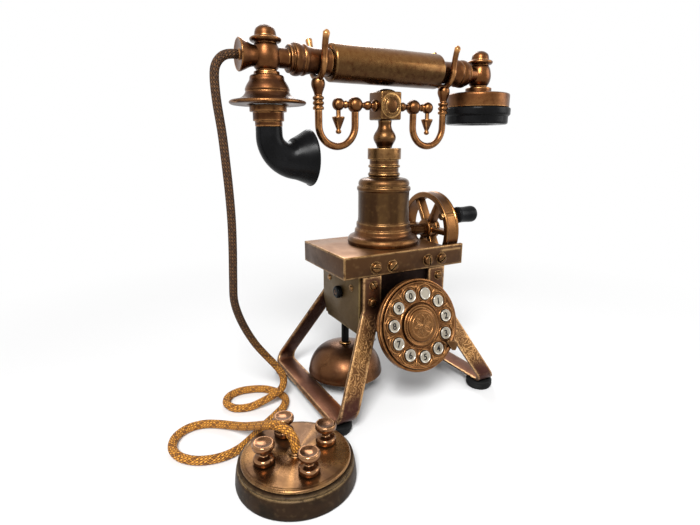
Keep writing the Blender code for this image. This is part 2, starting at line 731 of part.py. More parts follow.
def make_fork(look, cradle, name, side, axis_z):
    """The two prongs: a round saddle under the handset's neck, then straight up and leaning out."""
    saddle_r = end_neck_r + gap + prong_wire_r
    path = []
    for step in range(9):
        angle = math.pi + math.pi * step / 8
        path.append((side * fork_x, saddle_r * math.cos(angle), axis_z + saddle_r * math.sin(angle)))
    tip = (saddle_r + prong_lean, axis_z + prong_rise)
    path.insert(0, (side * fork_x, -tip[0], tip[1]))
    path.append((side * fork_x, tip[0], tip[1]))
    return tube(f"fork_{name}", path, prong_wire_r, look["bronze"], cradle)


def make_grip(look, handset):
    """The grip tube and the two end fittings with their stems. Heights are from the handset's axis."""
    bore = grip_r - grip_wall
    points = [(grip_r - grip_corner, grip_half), (grip_r - grip_corner * 0.3, grip_half - grip_corner * 0.3),
              (grip_r, grip_half - grip_corner), (grip_r, -grip_half + grip_corner),
              (grip_r - grip_corner * 0.3, -grip_half + grip_corner * 0.3), (grip_r - grip_corner, -grip_half),
              (bore, -grip_half), (bore, grip_half)]
    points = [(max(r, bore + soft_edge) if index < 6 else r, z) for index, (r, z) in enumerate(points)]
    turned("handle_tube", points, look["bronze"], handset, turn=to_x, ring=True)
    start = grip_half + gap
    neck_start = start + grip_corner
    neck_end = neck_start + end_neck_out
    tip = ball_x - ball_r + ball_socket - gap
    length = tip - neck_end
    for name, side in sides:
        points = [(end_bulge_r * r, neck_end + length * z) for r, z in end_shares]
        points += [(end_neck_r, neck_end), (end_neck_r, neck_start), (grip_r - grip_corner, start),
                   (bore - gap, start), (bore - gap, start - spigot_len), (0, start - spigot_len)]
        turned(f"handle_end_{name}", points, look["bronze"], handset,
               turn=to_x if side > 0 else to_minus_x)


def make_ball(look, handset, name, side):
    """A ball joint with its ring and finial knob, bored for the stem, and the left one for the gland."""
    points = from_shares(ball_shares, finial_r, finial_h) + from_shares(ball_low_shares, finial_r, ball_drop)
    ball = turned(f"ball_joint_{name}", points, look["bronze"], handset, (side * ball_x, 0, 0))
    floor = ball_x - ball_r + ball_socket
    cut(ball, rod(f"stem_socket_{name}", stem_tube_r + gap, ball_socket + ball_r, look["bronze"], handset,
                  (side * (floor - ball_socket - ball_r), 0, 0), to_x if side > 0 else to_minus_x))
    return ball


def make_gland(look, handset, ball):
    """The flared gland that the cord comes out of."""
    neck_r = gland_r * gland_shares[-1][0]
    inner = ball_x + ball_r - ball_socket
    cut(ball, rod("gland_socket", neck_r + gap, ball_socket + ball_r, look["bronze"], handset,
                  (-inner, 0, 0), to_minus_x))
    floor = inner + gap
    points = from_shares(gland_shares, gland_r, gland_len - ball_socket, floor + ball_socket)
    points += [(neck_r, floor), (0, floor)]
    turned("cord_gland", points, look["bronze"], handset, turn=to_minus_x, steps=small_steps)


def horn_path():
    """Centre points and radii of the mouthpiece horn: down, round a quarter turn, and out to the mouth."""
    top_z = -ball_drop - gap - bell_h - gap - throat_h - gap
    bend_z = top_z - horn_straight
    points = [(-ball_x, 0, top_z)]
    for step in range(7):
        angle = math.pi + math.pi / 2 * step / 6
        points.append((-ball_x + horn_bend_r + horn_bend_r * math.cos(angle), 0,
                       bend_z + horn_bend_r * math.sin(angle)))
    low_z = bend_z - horn_bend_r
    for share in (0.35, 0.65, 0.87, 1):
        points.append((-ball_x + horn_bend_r + horn_reach * share, 0, low_z + horn_lift * share))
    places = np.array(points)
    run = np.concatenate([[0], np.cumsum(np.linalg.norm(np.diff(places, axis=0), axis=1))])
    radii = horn_top_r + (horn_mouth_r - horn_top_r) * (run / run[-1]) ** horn_flare_power
    return points, [float(r) for r in radii]


def make_transmitter(look, handset):
    """The bell with its capsule, the stepped throat and the black horn."""
    top = -ball_drop - gap
    base = top - bell_h
    lip_r = capsule_r + gap
    points = from_shares(bell_shares, bell_r, bell_h, base)
    points += [(lip_r, base), (lip_r, base + bell_wall)]
    points += from_shares(bell_inner_shares, bell_r, bell_h, base)
    turned("transmitter_bell", points, look["bronze"], handset, (-ball_x, 0, 0), steps=large_steps)
    throat_top = base - gap
    seat_z = base + bell_wall / 2
    points = from_shares(throat_shares, throat_r, throat_h, throat_top - throat_h)
    points += [(throat_bore_r, throat_top - throat_h), (throat_bore_r, seat_z), (capsule_r, seat_z),
               (capsule_r, throat_top)]
    turned("transmitter_throat", points, look["bronze"], handset, (-ball_x, 0, 0), ring=True)
    capsule = [(0, capsule_h), (capsule_r * 0.7, capsule_h), (capsule_r, capsule_h * 0.6),
               (capsule_r, 0), (0, 0)]
    turned("transmitter_capsule", capsule, look["steel"], handset, (-ball_x, 0, seat_z + gap))
    path, radii = horn_path()
    horn = tube("horn", path, horn_top_r, look["ebonite"], handset, resolution=6, radii=radii, capped=False)
    wall = horn.modifiers.new("wall", "SOLIDIFY")
    wall.thickness = horn_wall
    wall.offset = -1


def make_receiver(look, handset):
    """The brass cup, the electromagnet inside it and the black earpiece that closes it."""
    top = -ball_drop - gap
    base = top - cup_h
    inner_top = base + cup_h * 0.68 - cup_wall
    points = from_shares(cup_shares, cup_r, cup_h, base)
    points += [(cup_r - cup_wall, base), (cup_r - cup_wall, inner_top), (0, inner_top)]
    turned("receiver_cup", points, look["bronze"], handset, (ball_x, 0, 0), steps=large_steps)
    magnet = [(0, magnet_h), (magnet_r * 0.4, magnet_h), (magnet_r, magnet_h * 0.6), (magnet_r, 0), (0, 0)]
    earpiece_top = base - gap
    turned("receiver_magnet", magnet, look["steel"], handset, (ball_x, 0, earpiece_top + gap))
    low = earpiece_top - earpiece_h
    points = from_shares(earpiece_shares, earpiece_r, earpiece_h, low)
    points += from_shares(earpiece_dish_shares, earpiece_r, earpiece_h, low)
    points += [(earpiece_hole_r, low + earpiece_h * 0.42), (earpiece_hole_r, earpiece_top)]
    turned("earpiece", points, look["ebonite"], handset, (ball_x, 0, 0), steps=large_steps, ring=True)


def make_dial_case(look, dial):
    """The stepped case, the bracket behind it and the finger stop. Heights are along the dial's axis."""
    floor = -wheel_rest - case_depth + wheel_rest / 2
    points = from_shares(case_shares, case_r, case_depth, floor)
    inner = case_r * case_shares[-1][0] - case_wall
    shelf = case_r * case_shares[2][0] - case_wall
    top = floor + case_depth
    under_wheel = -wheel_rest - ring_disc_t - 3 * gap
    points += [(spindle_r + gap, floor), (spindle_r + gap, floor + case_wall), (inner, floor + case_wall),
               (inner, floor + case_depth * 0.2), (shelf, floor + case_depth * 0.28),
               (shelf, under_wheel), (wheel_plate_r + gap, under_wheel), (wheel_plate_r + gap, top)]
    turned("dial_case", points, look["bronze"], dial, steps=large_steps, ring=True)
    make_bracket(look, dial.parent, floor)
    make_stop(look, dial, top)


def make_bracket(look, root, floor):
    """The block between the front panel and the tilted back of the case."""
    out = Vector((-math.cos(dial_tilt), math.sin(dial_tilt)))
    up = Vector((math.sin(dial_tilt), math.cos(dial_tilt)))
    centre = Vector((-dial_y, dial_z)) + out * (floor - gap)
    high = centre + up * bracket_h / 2
    low = centre - up * bracket_h / 2
    back_y = -panel_face_y - gap
    outline = [tuple(low), (back_y, low.y), (back_y, high.y), tuple(high)]
    flat("dial_bracket", [outline], bracket_w, look["iron"], root, turn=in_yz)


def make_stop(look, dial, top):
    """The finger stop: a foot on the case's rim and a pointed blade over the studs."""
    blade_z = stud_top + stop_clear
    rim_in = wheel_plate_r + gap
    foot_w = stop_w
    tip_r = rim_in - stop_in
    outline = [(rim_in, -foot_w / 2), (case_r + stop_blade_t / 2, -foot_w * 0.35),
               (case_r + stop_blade_t / 2, foot_w * 0.35), (rim_in, foot_w / 2), (tip_r, foot_w * 0.1),
               (tip_r, -foot_w * 0.1)]
    angle = math.pi / 2 - stop_angle
    stop = flat("finger_stop", [outline], stop_blade_t, look["copper"], dial,
                (0, 0, blade_z + stop_blade_t / 2), (0, 0, angle))
    foot_h_real = blade_z - top - gap
    middle = (rim_in + gap + case_r - gap) / 2
    size = (case_r - rim_in - 2 * gap, foot_w * 0.6, foot_h_real + stop_blade_t / 2)
    foot = block("stop_foot", size, look["copper"], dial,
                 (middle * math.cos(angle), middle * math.sin(angle), top + gap + size[2] / 2))
    foot.rotation_euler = (0, 0, angle)
    join(stop, foot)


def stud_places():
    """Centres of the number studs, clockwise from just right of the top."""
    angles = [math.pi / 2 - stud_phase - math.tau * index / stud_count for index in range(stud_count)]
    return [(stud_circle_r * math.cos(a), stud_circle_r * math.sin(a)) for a in angles]


def make_dial(look, turning):
    """The finger wheel, the ring of number studs in its holes, and the cap on its spindle."""
    holes = [circle(stud_r + gap, tiny_steps, spot) for spot in stud_places()]
    holes.append(circle(spindle_r + gap, small_steps))
    flat("finger_wheel", [circle(wheel_plate_r, 2 * round_steps)] + holes, wheel_plate_t, look["bronze"], turning,
         (0, 0, -wheel_rest + wheel_plate_t / 2))
    base = -wheel_rest - gap - ring_disc_t
    disc = [(ring_disc_r, base + ring_disc_t), (ring_disc_r, base), (spindle_r + gap, base),
            (spindle_r + gap, base + ring_disc_t)]
    ring = turned("number_ring", disc, look["silver"], turning, ring=True)
    height = stud_top - base - ring_disc_t / 2
    stud = [(0, height), (stud_r * 0.75, height - stud_top * 0.45), (stud_r, height - 1.8 * stud_top),
            (stud_r, 0), (0, 0)]
    for index, (x, y) in enumerate(stud_places()):
        join(ring, turned(f"stud_{index}", stud, look["silver"], turning, (x, y, base + ring_disc_t / 2),
                          steps=tiny_steps))
    cap_base = -wheel_rest + wheel_plate_t + gap
    floor = -wheel_rest - case_depth + wheel_rest / 2
    points = from_shares(cap_shares, cap_r, cap_h, cap_base)
    points += [(spindle_r, cap_base), (spindle_r, floor + gap), (0, floor + gap)]
    turned("dial_cap", points, look["bronze"], turning)


def make_crank(look, root, crank, grip):
    """The spoked crank wheel on its shaft and bush, with a pin that the grip turns on."""
    rim_r = crank_wheel_r - rim_t
    holes = []
    for index in range(spoke_count):
        start = math.tau * index / spoke_count
        end = start + math.tau / spoke_count
        out_trim = math.asin(spoke_w / 2 / rim_r)
        in_trim = math.asin(spoke_w / 2 / hub_r)
        outer = [start + out_trim + (end - start - 2 * out_trim) * s / 6 for s in range(7)]
        inner = [end - in_trim - (end - start - 2 * in_trim) * s / 3 for s in range(4)]
        holes.append([(rim_r * math.cos(a), rim_r * math.sin(a)) for a in outer]
                     + [(hub_r * math.cos(a), hub_r * math.sin(a)) for a in inner])
    holes.append(circle(crank_shaft_r + gap, tiny_steps))
    middle_x = crank_wheel_t / 2
    wheel = flat("crank_wheel", [circle(crank_wheel_r, 2 * round_steps)] + holes, crank_wheel_t,
                 look["copper"], crank, (middle_x, 0, 0), in_yz)
    pin_y = pin_circle_r * math.cos(pin_angle)
    pin_z = pin_circle_r * math.sin(pin_angle)
    join(wheel, rod("pin_boss", pin_boss_r, crank_wheel_t + pin_boss_out, look["copper"], crank,
                    (0, pin_y, pin_z), to_x))
    cut(wheel, rod("pin_bore", pin_r + gap, crank_wheel_t + 2 * overrun, look["copper"], crank,
                   (-overrun / 4, pin_y, pin_z), to_x, tiny_steps))
    shaft_end = -(crank_wheel_x - crank_shaft_in)
    nut = [(0, crank_wheel_t + crank_shaft_out), (crank_shaft_r * 1.5, crank_wheel_t + crank_shaft_out),
           (crank_shaft_r * 1.7, crank_wheel_t + gap), (crank_shaft_r, crank_wheel_t + gap),
           (crank_shaft_r, shaft_end), (0, shaft_end)]
    turned("crank_shaft", nut, look["steel"], crank, turn=to_x, steps=small_steps)
    bush_len = crank_wheel_x - gap - crank_bush_in
    ring = [(crank_bush_r, bush_len), (crank_bush_r, 0), (crank_shaft_r + gap, 0), (crank_shaft_r + gap, bush_len)]
    turned("crank_bush", ring, look["brass"], root, (crank_bush_in, 0, crank_z), to_x, small_steps, ring=True)
    handle_start = crank_wheel_t + pin_boss_out + gap
    head = [(0, pin_head_t), (pin_head_r * 0.8, pin_head_t), (pin_head_r, pin_head_t * 0.6), (pin_head_r, 0),
            (pin_r, 0), (pin_r, -handle_start - handle_len * 0.9 + gap), (0, -handle_start - handle_len * 0.9 + gap)]
    turned("handle_pin", head, look["steel"], crank, (-gap, pin_y, pin_z), to_minus_x, tiny_steps)
    points = [(0, handle_start + handle_len)]
    points += from_shares(handle_shares, handle_r, handle_len, handle_start)
    bore_end = handle_start + handle_len * 0.9 + gap
    points += [(pin_r + gap, handle_start), (pin_r + gap, bore_end), (0, bore_end)]
    turned("handle_grip", points, look["ebonite"], grip, turn=to_x, steps=small_steps)


def make_armature(look, spinning):
    """The magneto's armature on its shaft, and the roller that the crank wheel's rim drives."""
    left_end = left_plate_x - gap - bush_t
    right_end = crank_wheel_x + crank_wheel_t
    half = armature_half
    points = [(0, right_end), (armature_shaft_r, right_end), (armature_shaft_r, half),
              (armature_r * 0.8, half), (armature_r, half * 0.85), (armature_r, -half * 0.85),
              (armature_r * 0.8, -half), (armature_shaft_r, -half), (armature_shaft_r, left_end), (0, left_end)]
    turned("armature", points, look["iron"], spinning, turn=to_x, steps=small_steps)
    start = crank_wheel_x
    end = right_end - gap
    ring = [(roller_hub_r, end), (roller_r - soft_edge, end), (roller_r, end - soft_edge),
            (roller_r, start + soft_edge), (roller_r - soft_edge, start), (armature_shaft_r + gap, start),
            (armature_shaft_r + gap, end)]
    turned("friction_roller", ring[1:], look["rubber"], spinning, turn=to_x, ring=True)


def make_bell(look, root, swinging):
    """The gong on its post, the coils on their yoke under the body, and the clapper."""
    hole = gong_hole_r
    outer = from_shares(gong_shares, gong_r, gong_h, gong_top_z - gong_h)
    inner = [(r - gong_wall, z - gong_wall) for r, z in reversed(outer[1:-1])]
    rim_in = (outer[-1][0] - gong_wall, outer[-1][1])
    points = outer + [rim_in] + inner + [(hole, gong_top_z - gong_wall), (hole, gong_top_z)]
    turned("gong", points, look["copper"], root, (-gong_x, gong_y, 0), steps=large_steps, ring=True)
    base = gong_top_z + gap
    post_top = yoke_under_z - gap
    points = [(0, post_top), (post_r, post_top), (post_r, base + post_washer_t),
              (post_washer_r, base + post_washer_t), (post_washer_r, base), (post_screw_r, base),
              (post_screw_r, base - 4 * gong_wall), (0, base - 4 * gong_wall)]
    turned("gong_post", points, look["ebonite"], root, (-gong_x, gong_y, 0), steps=small_steps)
    yoke_back = panel_face_y - panel_t - gap
    yoke_d = yoke_back - yoke_front_y
    yoke_x = inner_left_x + yoke_w / 2 + gap
    coils = block("ringer_coils", (yoke_w, yoke_d, yoke_t), look["winding"], root,
                  (yoke_x, yoke_front_y + yoke_d / 2, yoke_under_z + yoke_t / 2))
    for side in (-1, 1):
        join(coils, rod(f"coil_{side}", coil_r, coil_h + yoke_t / 2, look["winding"], root,
                        (yoke_x + side * coil_spread / 2, coil_y, yoke_under_z + yoke_t / 2)))
    drop = clapper_drop
    clapper = tube("clapper", [(0, 0, -gap), (0, 0, -drop)], clapper_wire_r, look["steel"], swinging)
    join(clapper, rod("clapper_head", clapper_head_r, clapper_reach, look["steel"], swinging,
                      (clapper_head_r, 0, -drop), to_minus_x, tiny_steps))


def smooth_route(points, step):
    """Points at an even step along a smooth curve through the route's points."""
    spots = np.array(points)
    padded = np.vstack([2 * spots[0] - spots[1], spots, 2 * spots[-1] - spots[-2]])
    fine = []
    for p0, p1, p2, p3 in zip(padded, padded[1:], padded[2:], padded[3:]):
        for t in np.linspace(0, 1, 12, endpoint=False):
            fine.append(0.5 * (2 * p1 + (p2 - p0) * t + (2 * p0 - 5 * p1 + 4 * p2 - p3) * t ** 2
                               + (3 * p1 - p0 - 3 * p2 + p3) * t ** 3))
    fine.append(spots[-1])
    fine = np.array(fine)
    run = np.concatenate([[0], np.cumsum(np.linalg.norm(np.diff(fine, axis=0), axis=1))])
    count = max(2, round(run[-1] / step))
    marks = np.linspace(0, run[-1], count + 1)
    even = np.stack([np.interp(marks, run, fine[:, axis]) for axis in range(3)], axis=1)
    return [tuple(float(v) for v in spot) for spot in even], float(run[-1])


def make_block(look, root):
    """The round terminal block with its brass disc, and the four thumb nuts."""
    place = (-block_x, -block_y, 0)
    turned("terminal_base", from_shares(block_shares, block_r, block_h), look["wood"], root, place,
           steps=large_steps)
    points = [(ferrule_r * 0.62, disc_t + ferrule_h), (ferrule_r * 0.85, disc_t + ferrule_h),
              (ferrule_r, disc_t + ferrule_h * 0.75), (ferrule_r, disc_t)]
    points += from_shares(disc_shares, disc_r, disc_t)
    points += [(ferrule_r * 0.62, 0)]
    disc = turned("terminal_disc", points, look["copper"], root, (-block_x, -block_y, block_top_z),
                  steps=large_steps, ring=True)
    for index, (x, y) in enumerate(circle(nut_circle_r, 4)):
        join(disc, rod(f"stud_pin_{index}", stud_pin_r, stud_pin_h + disc_t / 2, look["copper"], root,
                       (x - block_x, y - block_y, block_top_z + disc_t / 2), steps=tiny_steps))
        spot = (x - block_x, y - block_y, disc_top_z + gap)
        bore = stud_pin_r + nut_bore_clear
        points = from_shares(nut_shares, nut_r, nut_h)
        points += [(bore, 0), (bore, stud_pin_h + nut_bore_clear), (0, stud_pin_h + nut_bore_clear)]
        turned(f"thumb_nut_{index + 1}", points, look["bronze"], root, spot, steps=small_steps)


def make_cord(look, root):
    """The cloth cord, from the gland's face down into the ferrule, as far as the wood."""
    route = list(cord_route)
    face = -(ball_x + ball_r - ball_socket + gap + gland_len + gap)
    mouth_z = disc_top_z + ferrule_h
    route[0] = (face - cord_r, 0, handset_z)
    route[-1] = (-block_x, -block_y, mouth_z + cord_r / 2)
    points, length = smooth_route(route, cord_step_diameters * 2 * cord_r)
    points = [(face, 0, handset_z)] + points + [(-block_x, -block_y, block_top_z)]
    length += cord_r + route[-1][2] - block_top_z
    tube("cord", points, cord_r, look["cloth"], root)
    print("cord length", round(length, 4), "points", len(points))


def stand_on_origin(root, cord_pieces):
    """Move the telephone so that its own box, without the cord's pieces, is centred on the origin."""
    bpy.context.view_layer.update()
    spots = []
    for obj in phone.objects:
        if obj.type == "MESH" and obj.name not in cord_pieces:
            spots += [obj.matrix_world @ vert.co for vert in obj.data.vertices]
    xs = [spot.x for spot in spots]
    ys = [spot.y for spot in spots]
    root.location.x -= (min(xs) + max(xs)) / 2
    root.location.y -= (min(ys) + max(ys)) / 2


def build():
    clear_scene()
    look = make_finishes()
    root = frame_at("telephone", (0, 0, 0))
    cradle = frame_at("cradle_frame", (0, 0, stem_z), root)
    handset = frame_at("handset_frame", (0, 0, handset_z), root)
    dial = frame_at("dial_axis", (0, -dial_y, dial_z), root, (math.pi / 2 - dial_tilt, 0, 0))
    crank = frame_at("crank_axis", (crank_wheel_x, 0, crank_z), root)
    grip = frame_at("grip_axis", (0, pin_circle_r * math.cos(pin_angle), pin_circle_r * math.sin(pin_angle)), crank)
    spinning = frame_at("armature_axis", (0, 0, armature_z), root)
    swinging = frame_at("clapper_axis", (gong_r - gong_x - clapper_inset, gong_y, yoke_under_z), root)
    make_plate(look, root)
    make_body(look, root)
    make_legs(look, root)
    make_column(look, root)
    make_cradle(look, cradle)
    make_grip(look, handset)
    left_ball = make_ball(look, handset, "left", -1)
    make_ball(look, handset, "right", 1)
    make_gland(look, handset, left_ball)
    make_transmitter(look, handset)
    make_receiver(look, handset)
    make_dial_case(look, dial)
    make_dial(look, dial)
    make_crank(look, root, crank, grip)
    make_armature(look, spinning)
    make_bell(look, root, swinging)
    make_block(look, root)
    make_cord(look, root)
    bpy.context.view_layer.update()
    pieces = [obj for obj in phone.objects if obj.type == "MESH"]
    meshes = [settled_mesh(obj) for obj in pieces]
    for obj, mesh in zip(pieces, meshes):
        obj.modifiers.clear()
        obj.data = mesh
        mesh.name = obj.name
    cord_pieces = {"cord", "terminal_base", "terminal_disc"} | {f"thumb_nut_{n}" for n in range(1, 5)}
    stand_on_origin(root, cord_pieces)
    bpy.context.view_layer.update()
    faces = sum(len(polygon.vertices) - 2 for obj in pieces for polygon in obj.data.polygons)
    print("pieces", len(pieces), "triangles", faces)


build()
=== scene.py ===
# %% [markdown]
# # A desk telephone with a lifting cradle
# The solid model of this telephone is already measured and packed. This lesson dresses it: every part that
# the eye meets is made again with rounder edges, finer profiles and an aged metal finish, exactly where the
# solid model has it. Lengths are written in millimetres, as on a workshop drawing, and one matrix called
# `home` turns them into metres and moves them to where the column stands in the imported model.

# %% Load the solid model and find its column
import math

import bmesh
import bpy
from mathutils import Matrix, Vector


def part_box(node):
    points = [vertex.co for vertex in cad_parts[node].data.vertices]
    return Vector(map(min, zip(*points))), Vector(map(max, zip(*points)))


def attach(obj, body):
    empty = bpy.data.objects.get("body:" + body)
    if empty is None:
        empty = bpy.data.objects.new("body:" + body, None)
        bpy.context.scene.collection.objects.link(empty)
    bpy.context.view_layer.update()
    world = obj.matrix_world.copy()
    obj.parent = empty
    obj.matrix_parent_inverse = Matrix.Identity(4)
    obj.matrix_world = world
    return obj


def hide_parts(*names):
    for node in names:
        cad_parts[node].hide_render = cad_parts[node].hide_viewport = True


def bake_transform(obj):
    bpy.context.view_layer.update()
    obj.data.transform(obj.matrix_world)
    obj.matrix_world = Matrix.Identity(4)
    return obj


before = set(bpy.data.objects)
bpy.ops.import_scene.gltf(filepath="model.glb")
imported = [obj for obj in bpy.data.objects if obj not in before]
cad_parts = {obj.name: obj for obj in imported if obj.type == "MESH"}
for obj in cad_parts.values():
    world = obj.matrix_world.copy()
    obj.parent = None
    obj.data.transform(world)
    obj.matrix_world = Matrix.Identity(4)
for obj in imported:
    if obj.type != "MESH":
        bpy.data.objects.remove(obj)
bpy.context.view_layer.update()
column_low, column_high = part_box("column_housing")
column_axis = Vector(((column_low.x + column_high.x) / 2, (column_low.y + column_high.y) / 2, 0))
home = Matrix.Translation(column_axis) @ Matrix.Scale(0.001, 4)
print("column axis", [round(v, 5) for v in column_axis])

# %% [markdown]
# The camera repeats the view of the picture: a little from the left, from above the dial, and close, so that
# the near terminal block looks large beside the dial. A camera can be turned by angles, but three directions
# (right, up and back) written as the columns of a matrix say exactly where it looks.

# %% Camera
camera_data = bpy.data.cameras.new("view_from_front_left")
camera_data.sensor_width = 36
camera_data.lens = 23.868
camera_data.clip_start = 0.01
camera = bpy.data.objects.new("view_from_front_left", camera_data)
bpy.context.scene.collection.objects.link(camera)
right, up, ahead = Vector((0.878, -0.4785, 0)), Vector((0.1189, 0.2181, 0.9687)), Vector((0.4636, 0.8506, -0.2484))
turn = Matrix((right, up, -ahead)).transposed().to_4x4()
camera.matrix_world = Matrix.Translation(home @ Vector((-224.2, -349.1, 223.2))) @ turn
bpy.context.scene.camera = camera
print("camera at", [round(v, 3) for v in camera.location])

# %% [markdown]
# The floor is a wide pale sheet that catches the telephone's shadow. The camera sees the world as white, and
# so do the mirror rays of the metal, but the light that the world gives is weaker: a Light Path node tells the
# two apart. That keeps the background white without bleaching the object.

# %% Floor and world
scene = bpy.context.scene
scene.view_settings.view_transform = "Standard"
floor_mesh = bpy.data.meshes.new("pale_floor")
bm = bmesh.new()
bmesh.ops.create_grid(bm, x_segments=1, y_segments=1, size=30)
bm.to_mesh(floor_mesh)
bm.free()
floor = bpy.data.objects.new("pale_floor", floor_mesh)
scene.collection.objects.link(floor)
floor.location.z = -0.0002

floor_paint = bpy.data.materials.new("pale_floor")
floor_paint.use_nodes = True
tree = floor_paint.node_tree
shader = tree.nodes["Principled BSDF"]
shader.inputs["Base Color"].default_value = (0.8, 0.8, 0.8, 1)
shader.inputs["Roughness"].default_value = 0.9
shader.inputs["Specular IOR Level"].default_value = 0.1
reach = tree.nodes.new("ShaderNodeVectorMath")
reach.operation = "LENGTH"
tree.links.new(tree.nodes.new("ShaderNodeTexCoord").outputs["Object"], reach.inputs[0])
far = tree.nodes.new("ShaderNodeMapRange")
far.interpolation_type = "SMOOTHSTEP"
tree.links.new(reach.outputs["Value"], far.inputs["Value"])
far.inputs["From Min"].default_value, far.inputs["From Max"].default_value = 0.12, 0.62
white = tree.nodes.new("ShaderNodeEmission")
seen = tree.nodes.new("ShaderNodeLightPath")
shown = tree.nodes.new("ShaderNodeMath")
shown.operation = "MAXIMUM"
tree.links.new(seen.outputs["Is Camera Ray"], shown.inputs[0])
tree.links.new(seen.outputs["Is Glossy Ray"], shown.inputs[1])
also = tree.nodes.new("ShaderNodeMath")
also.operation = "MAXIMUM"
tree.links.new(shown.outputs[0], also.inputs[0])
tree.links.new(seen.outputs["Is Transmission Ray"], also.inputs[1])
share = tree.nodes.new("ShaderNodeMath")
share.operation = "MULTIPLY"
tree.links.new(also.outputs[0], share.inputs[0])
tree.links.new(far.outputs["Result"], share.inputs[1])
blend = tree.nodes.new("ShaderNodeMixShader")
tree.links.new(share.outputs[0], blend.inputs["Fac"])
tree.links.new(shader.outputs["BSDF"], blend.inputs[1])
tree.links.new(white.outputs["Emission"], blend.inputs[2])
tree.links.new(blend.outputs["Shader"], tree.nodes["Material Output"].inputs["Surface"])
floor_mesh.materials.append(floor_paint)

world = bpy.data.worlds.new("studio")
scene.world = world
world.use_nodes = True
nodes, links = world.node_tree.nodes, world.node_tree.links
ray = nodes.new("ShaderNodeLightPath")
seen = nodes.new("ShaderNodeMath")
seen.operation = "ADD"
links.new(ray.outputs["Is Camera Ray"], seen.inputs[0])
links.new(ray.outputs["Is Transmission Ray"], seen.inputs[1])
shown = nodes.new("ShaderNodeMath")
shown.operation = "MAXIMUM"
links.new(seen.outputs[0], shown.inputs[0])
links.new(ray.outputs["Is Glossy Ray"], shown.inputs[1])
strength = nodes.new("ShaderNodeMapRange")
links.new(shown.outputs[0], strength.inputs["Value"])
strength.inputs["To Min"].default_value = 0.3
strength.inputs["To Max"].default_value = 1.0
links.new(strength.outputs["Result"], nodes["Background"].inputs["Strength"])
nodes["Background"].inputs["Color"].default_value = (1, 1, 1, 1)


# %% Soft lamps
def soft_lamp(name, place, target, size, watts):
    """A square soft box that looks at a point."""
    lamp_data = bpy.data.lights.new(name, "AREA")
    lamp_data.size = size
    lamp_data.energy = watts
    lamp = bpy.data.objects.new(name, lamp_data)
    bpy.context.scene.collection.objects.link(lamp)
    lamp.location = place
    lamp.rotation_euler = (Vector(target) - Vector(place)).to_track_quat("-Z", "Y").to_euler()
    return lamp


soft_lamp("key_lamp", (-0.55, -0.75, 0.95), (0, 0, 0.15), 0.45, 21)
soft_lamp("fill_lamp", (0.9, -0.6, 0.5), (0, 0, 0.15), 0.6, 4)
soft_lamp("back_lamp", (0.35, 0.9, 0.9), (0, 0, 0.15), 0.5, 5)
print("lamps", len(bpy.data.lights))

# %% [markdown]
# Nearly every part of a telephone like this is turned on a lathe, so the main tool here is a lathe too: draw
# half of the outline, then spin it. Real turned work has no dead sharp corner, so `softened` first rounds each
# corner of the outline: wide curves where the line bends gently, and a small break where it turns sharply.


# %% Rounding the corners of an outline
def softened(points, edge=0.45, steps=4, closed=False):
    """The outline with an arc at each corner: at most edge at sharp corners, and as wide as fits at gentle ones."""
    spots = [Vector(p) for p in points]
    count = len(spots)
    result = []
    for index, spot in enumerate(spots):
        if not closed and index in (0, count - 1):
            result.append(spot)
            continue
        before, after = spots[index - 1] - spot, spots[(index + 1) % count] - spot
        if before.length < 1e-6 or after.length < 1e-6:
            continue
        bend = math.pi - before.angle(after)
        if bend < math.radians(4):
            result.append(spot)
            continue
        reach = 0.48 * min(before.length, after.length)
        if bend > math.radians(52):
            reach = min(reach, edge)
        start, end = spot + before.normalized() * reach, spot + after.normalized() * reach
        for step in range(steps + 1):
            share = step / steps
            result.append(start * (1 - share) ** 2 + spot * 2 * share * (1 - share) + end * share ** 2)
    return result


# %% Finishing a mesh
def settle(bm, name, body, material, *solids, place=Matrix(), slot=None, sharp=40):
    """Close the seams, face every face outwards, put the mesh in its place and make it a piece of the telephone."""
    bmesh.ops.remove_doubles(bm, verts=bm.verts, dist=0.002)
    bmesh.ops.recalc_face_normals(bm, faces=bm.faces)
    bmesh.ops.transform(bm, matrix=home @ place, verts=bm.verts)
    mesh = bpy.data.meshes.new(name)
    bm.to_mesh(mesh)
    bm.free()
    mesh.materials.append(material)
    mesh.shade_smooth()
    mesh.set_sharp_from_angle(angle=math.radians(sharp))
    piece = bpy.data.objects.new(name, mesh)
    bpy.context.scene.collection.objects.link(piece)
    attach(piece, body)
    if solids:
        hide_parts(*solids)
    return piece


# %% The lathe
def lathe(bm, outline, place=Matrix(), steps=64, ring=False):
    """Spin an outline of (radius, height) points about the Z axis, then put it in its place."""
    verts = [bm.verts.new((p[0], 0, p[1])) for p in outline]
    edges = [bm.edges.new(pair) for pair in zip(verts, verts[1:])]
    if ring:
        edges.append(bm.edges.new((verts[-1], verts[0])))
    before = set(bm.verts)
    bmesh.ops.spin(bm, geom=verts + edges, cent=(0, 0, 0), axis=(0, 0, 1), angle=math.tau, steps=steps,
                   use_merge=True)
    made = list(set(bm.verts) - before) + verts
    bmesh.ops.transform(bm, matrix=place, verts=made)
    return made


def shares(table, radius, height, base=0.0):
    """Millimetre points of an outline that is given in shares of its radius and height."""
    return [(radius * r, base + height * z) for r, z in table]


def turned(name, body, material, outline, *solids, place=Matrix(), steps=64, ring=False, edge=0.45, slot=None):
    """One turned piece of the telephone."""
    bm = bmesh.new()
    lathe(bm, softened(outline, edge, closed=ring), steps=steps, ring=ring)
    return settle(bm, name, body, material, *solids, place=place, slot=slot)


def at(x=0.0, y=0.0, z=0.0):
    return Matrix.Translation((x, y, z))


to_right = Matrix.Rotation(math.pi / 2, 4, "Y")
to_left = Matrix.Rotation(-math.pi / 2, 4, "Y")

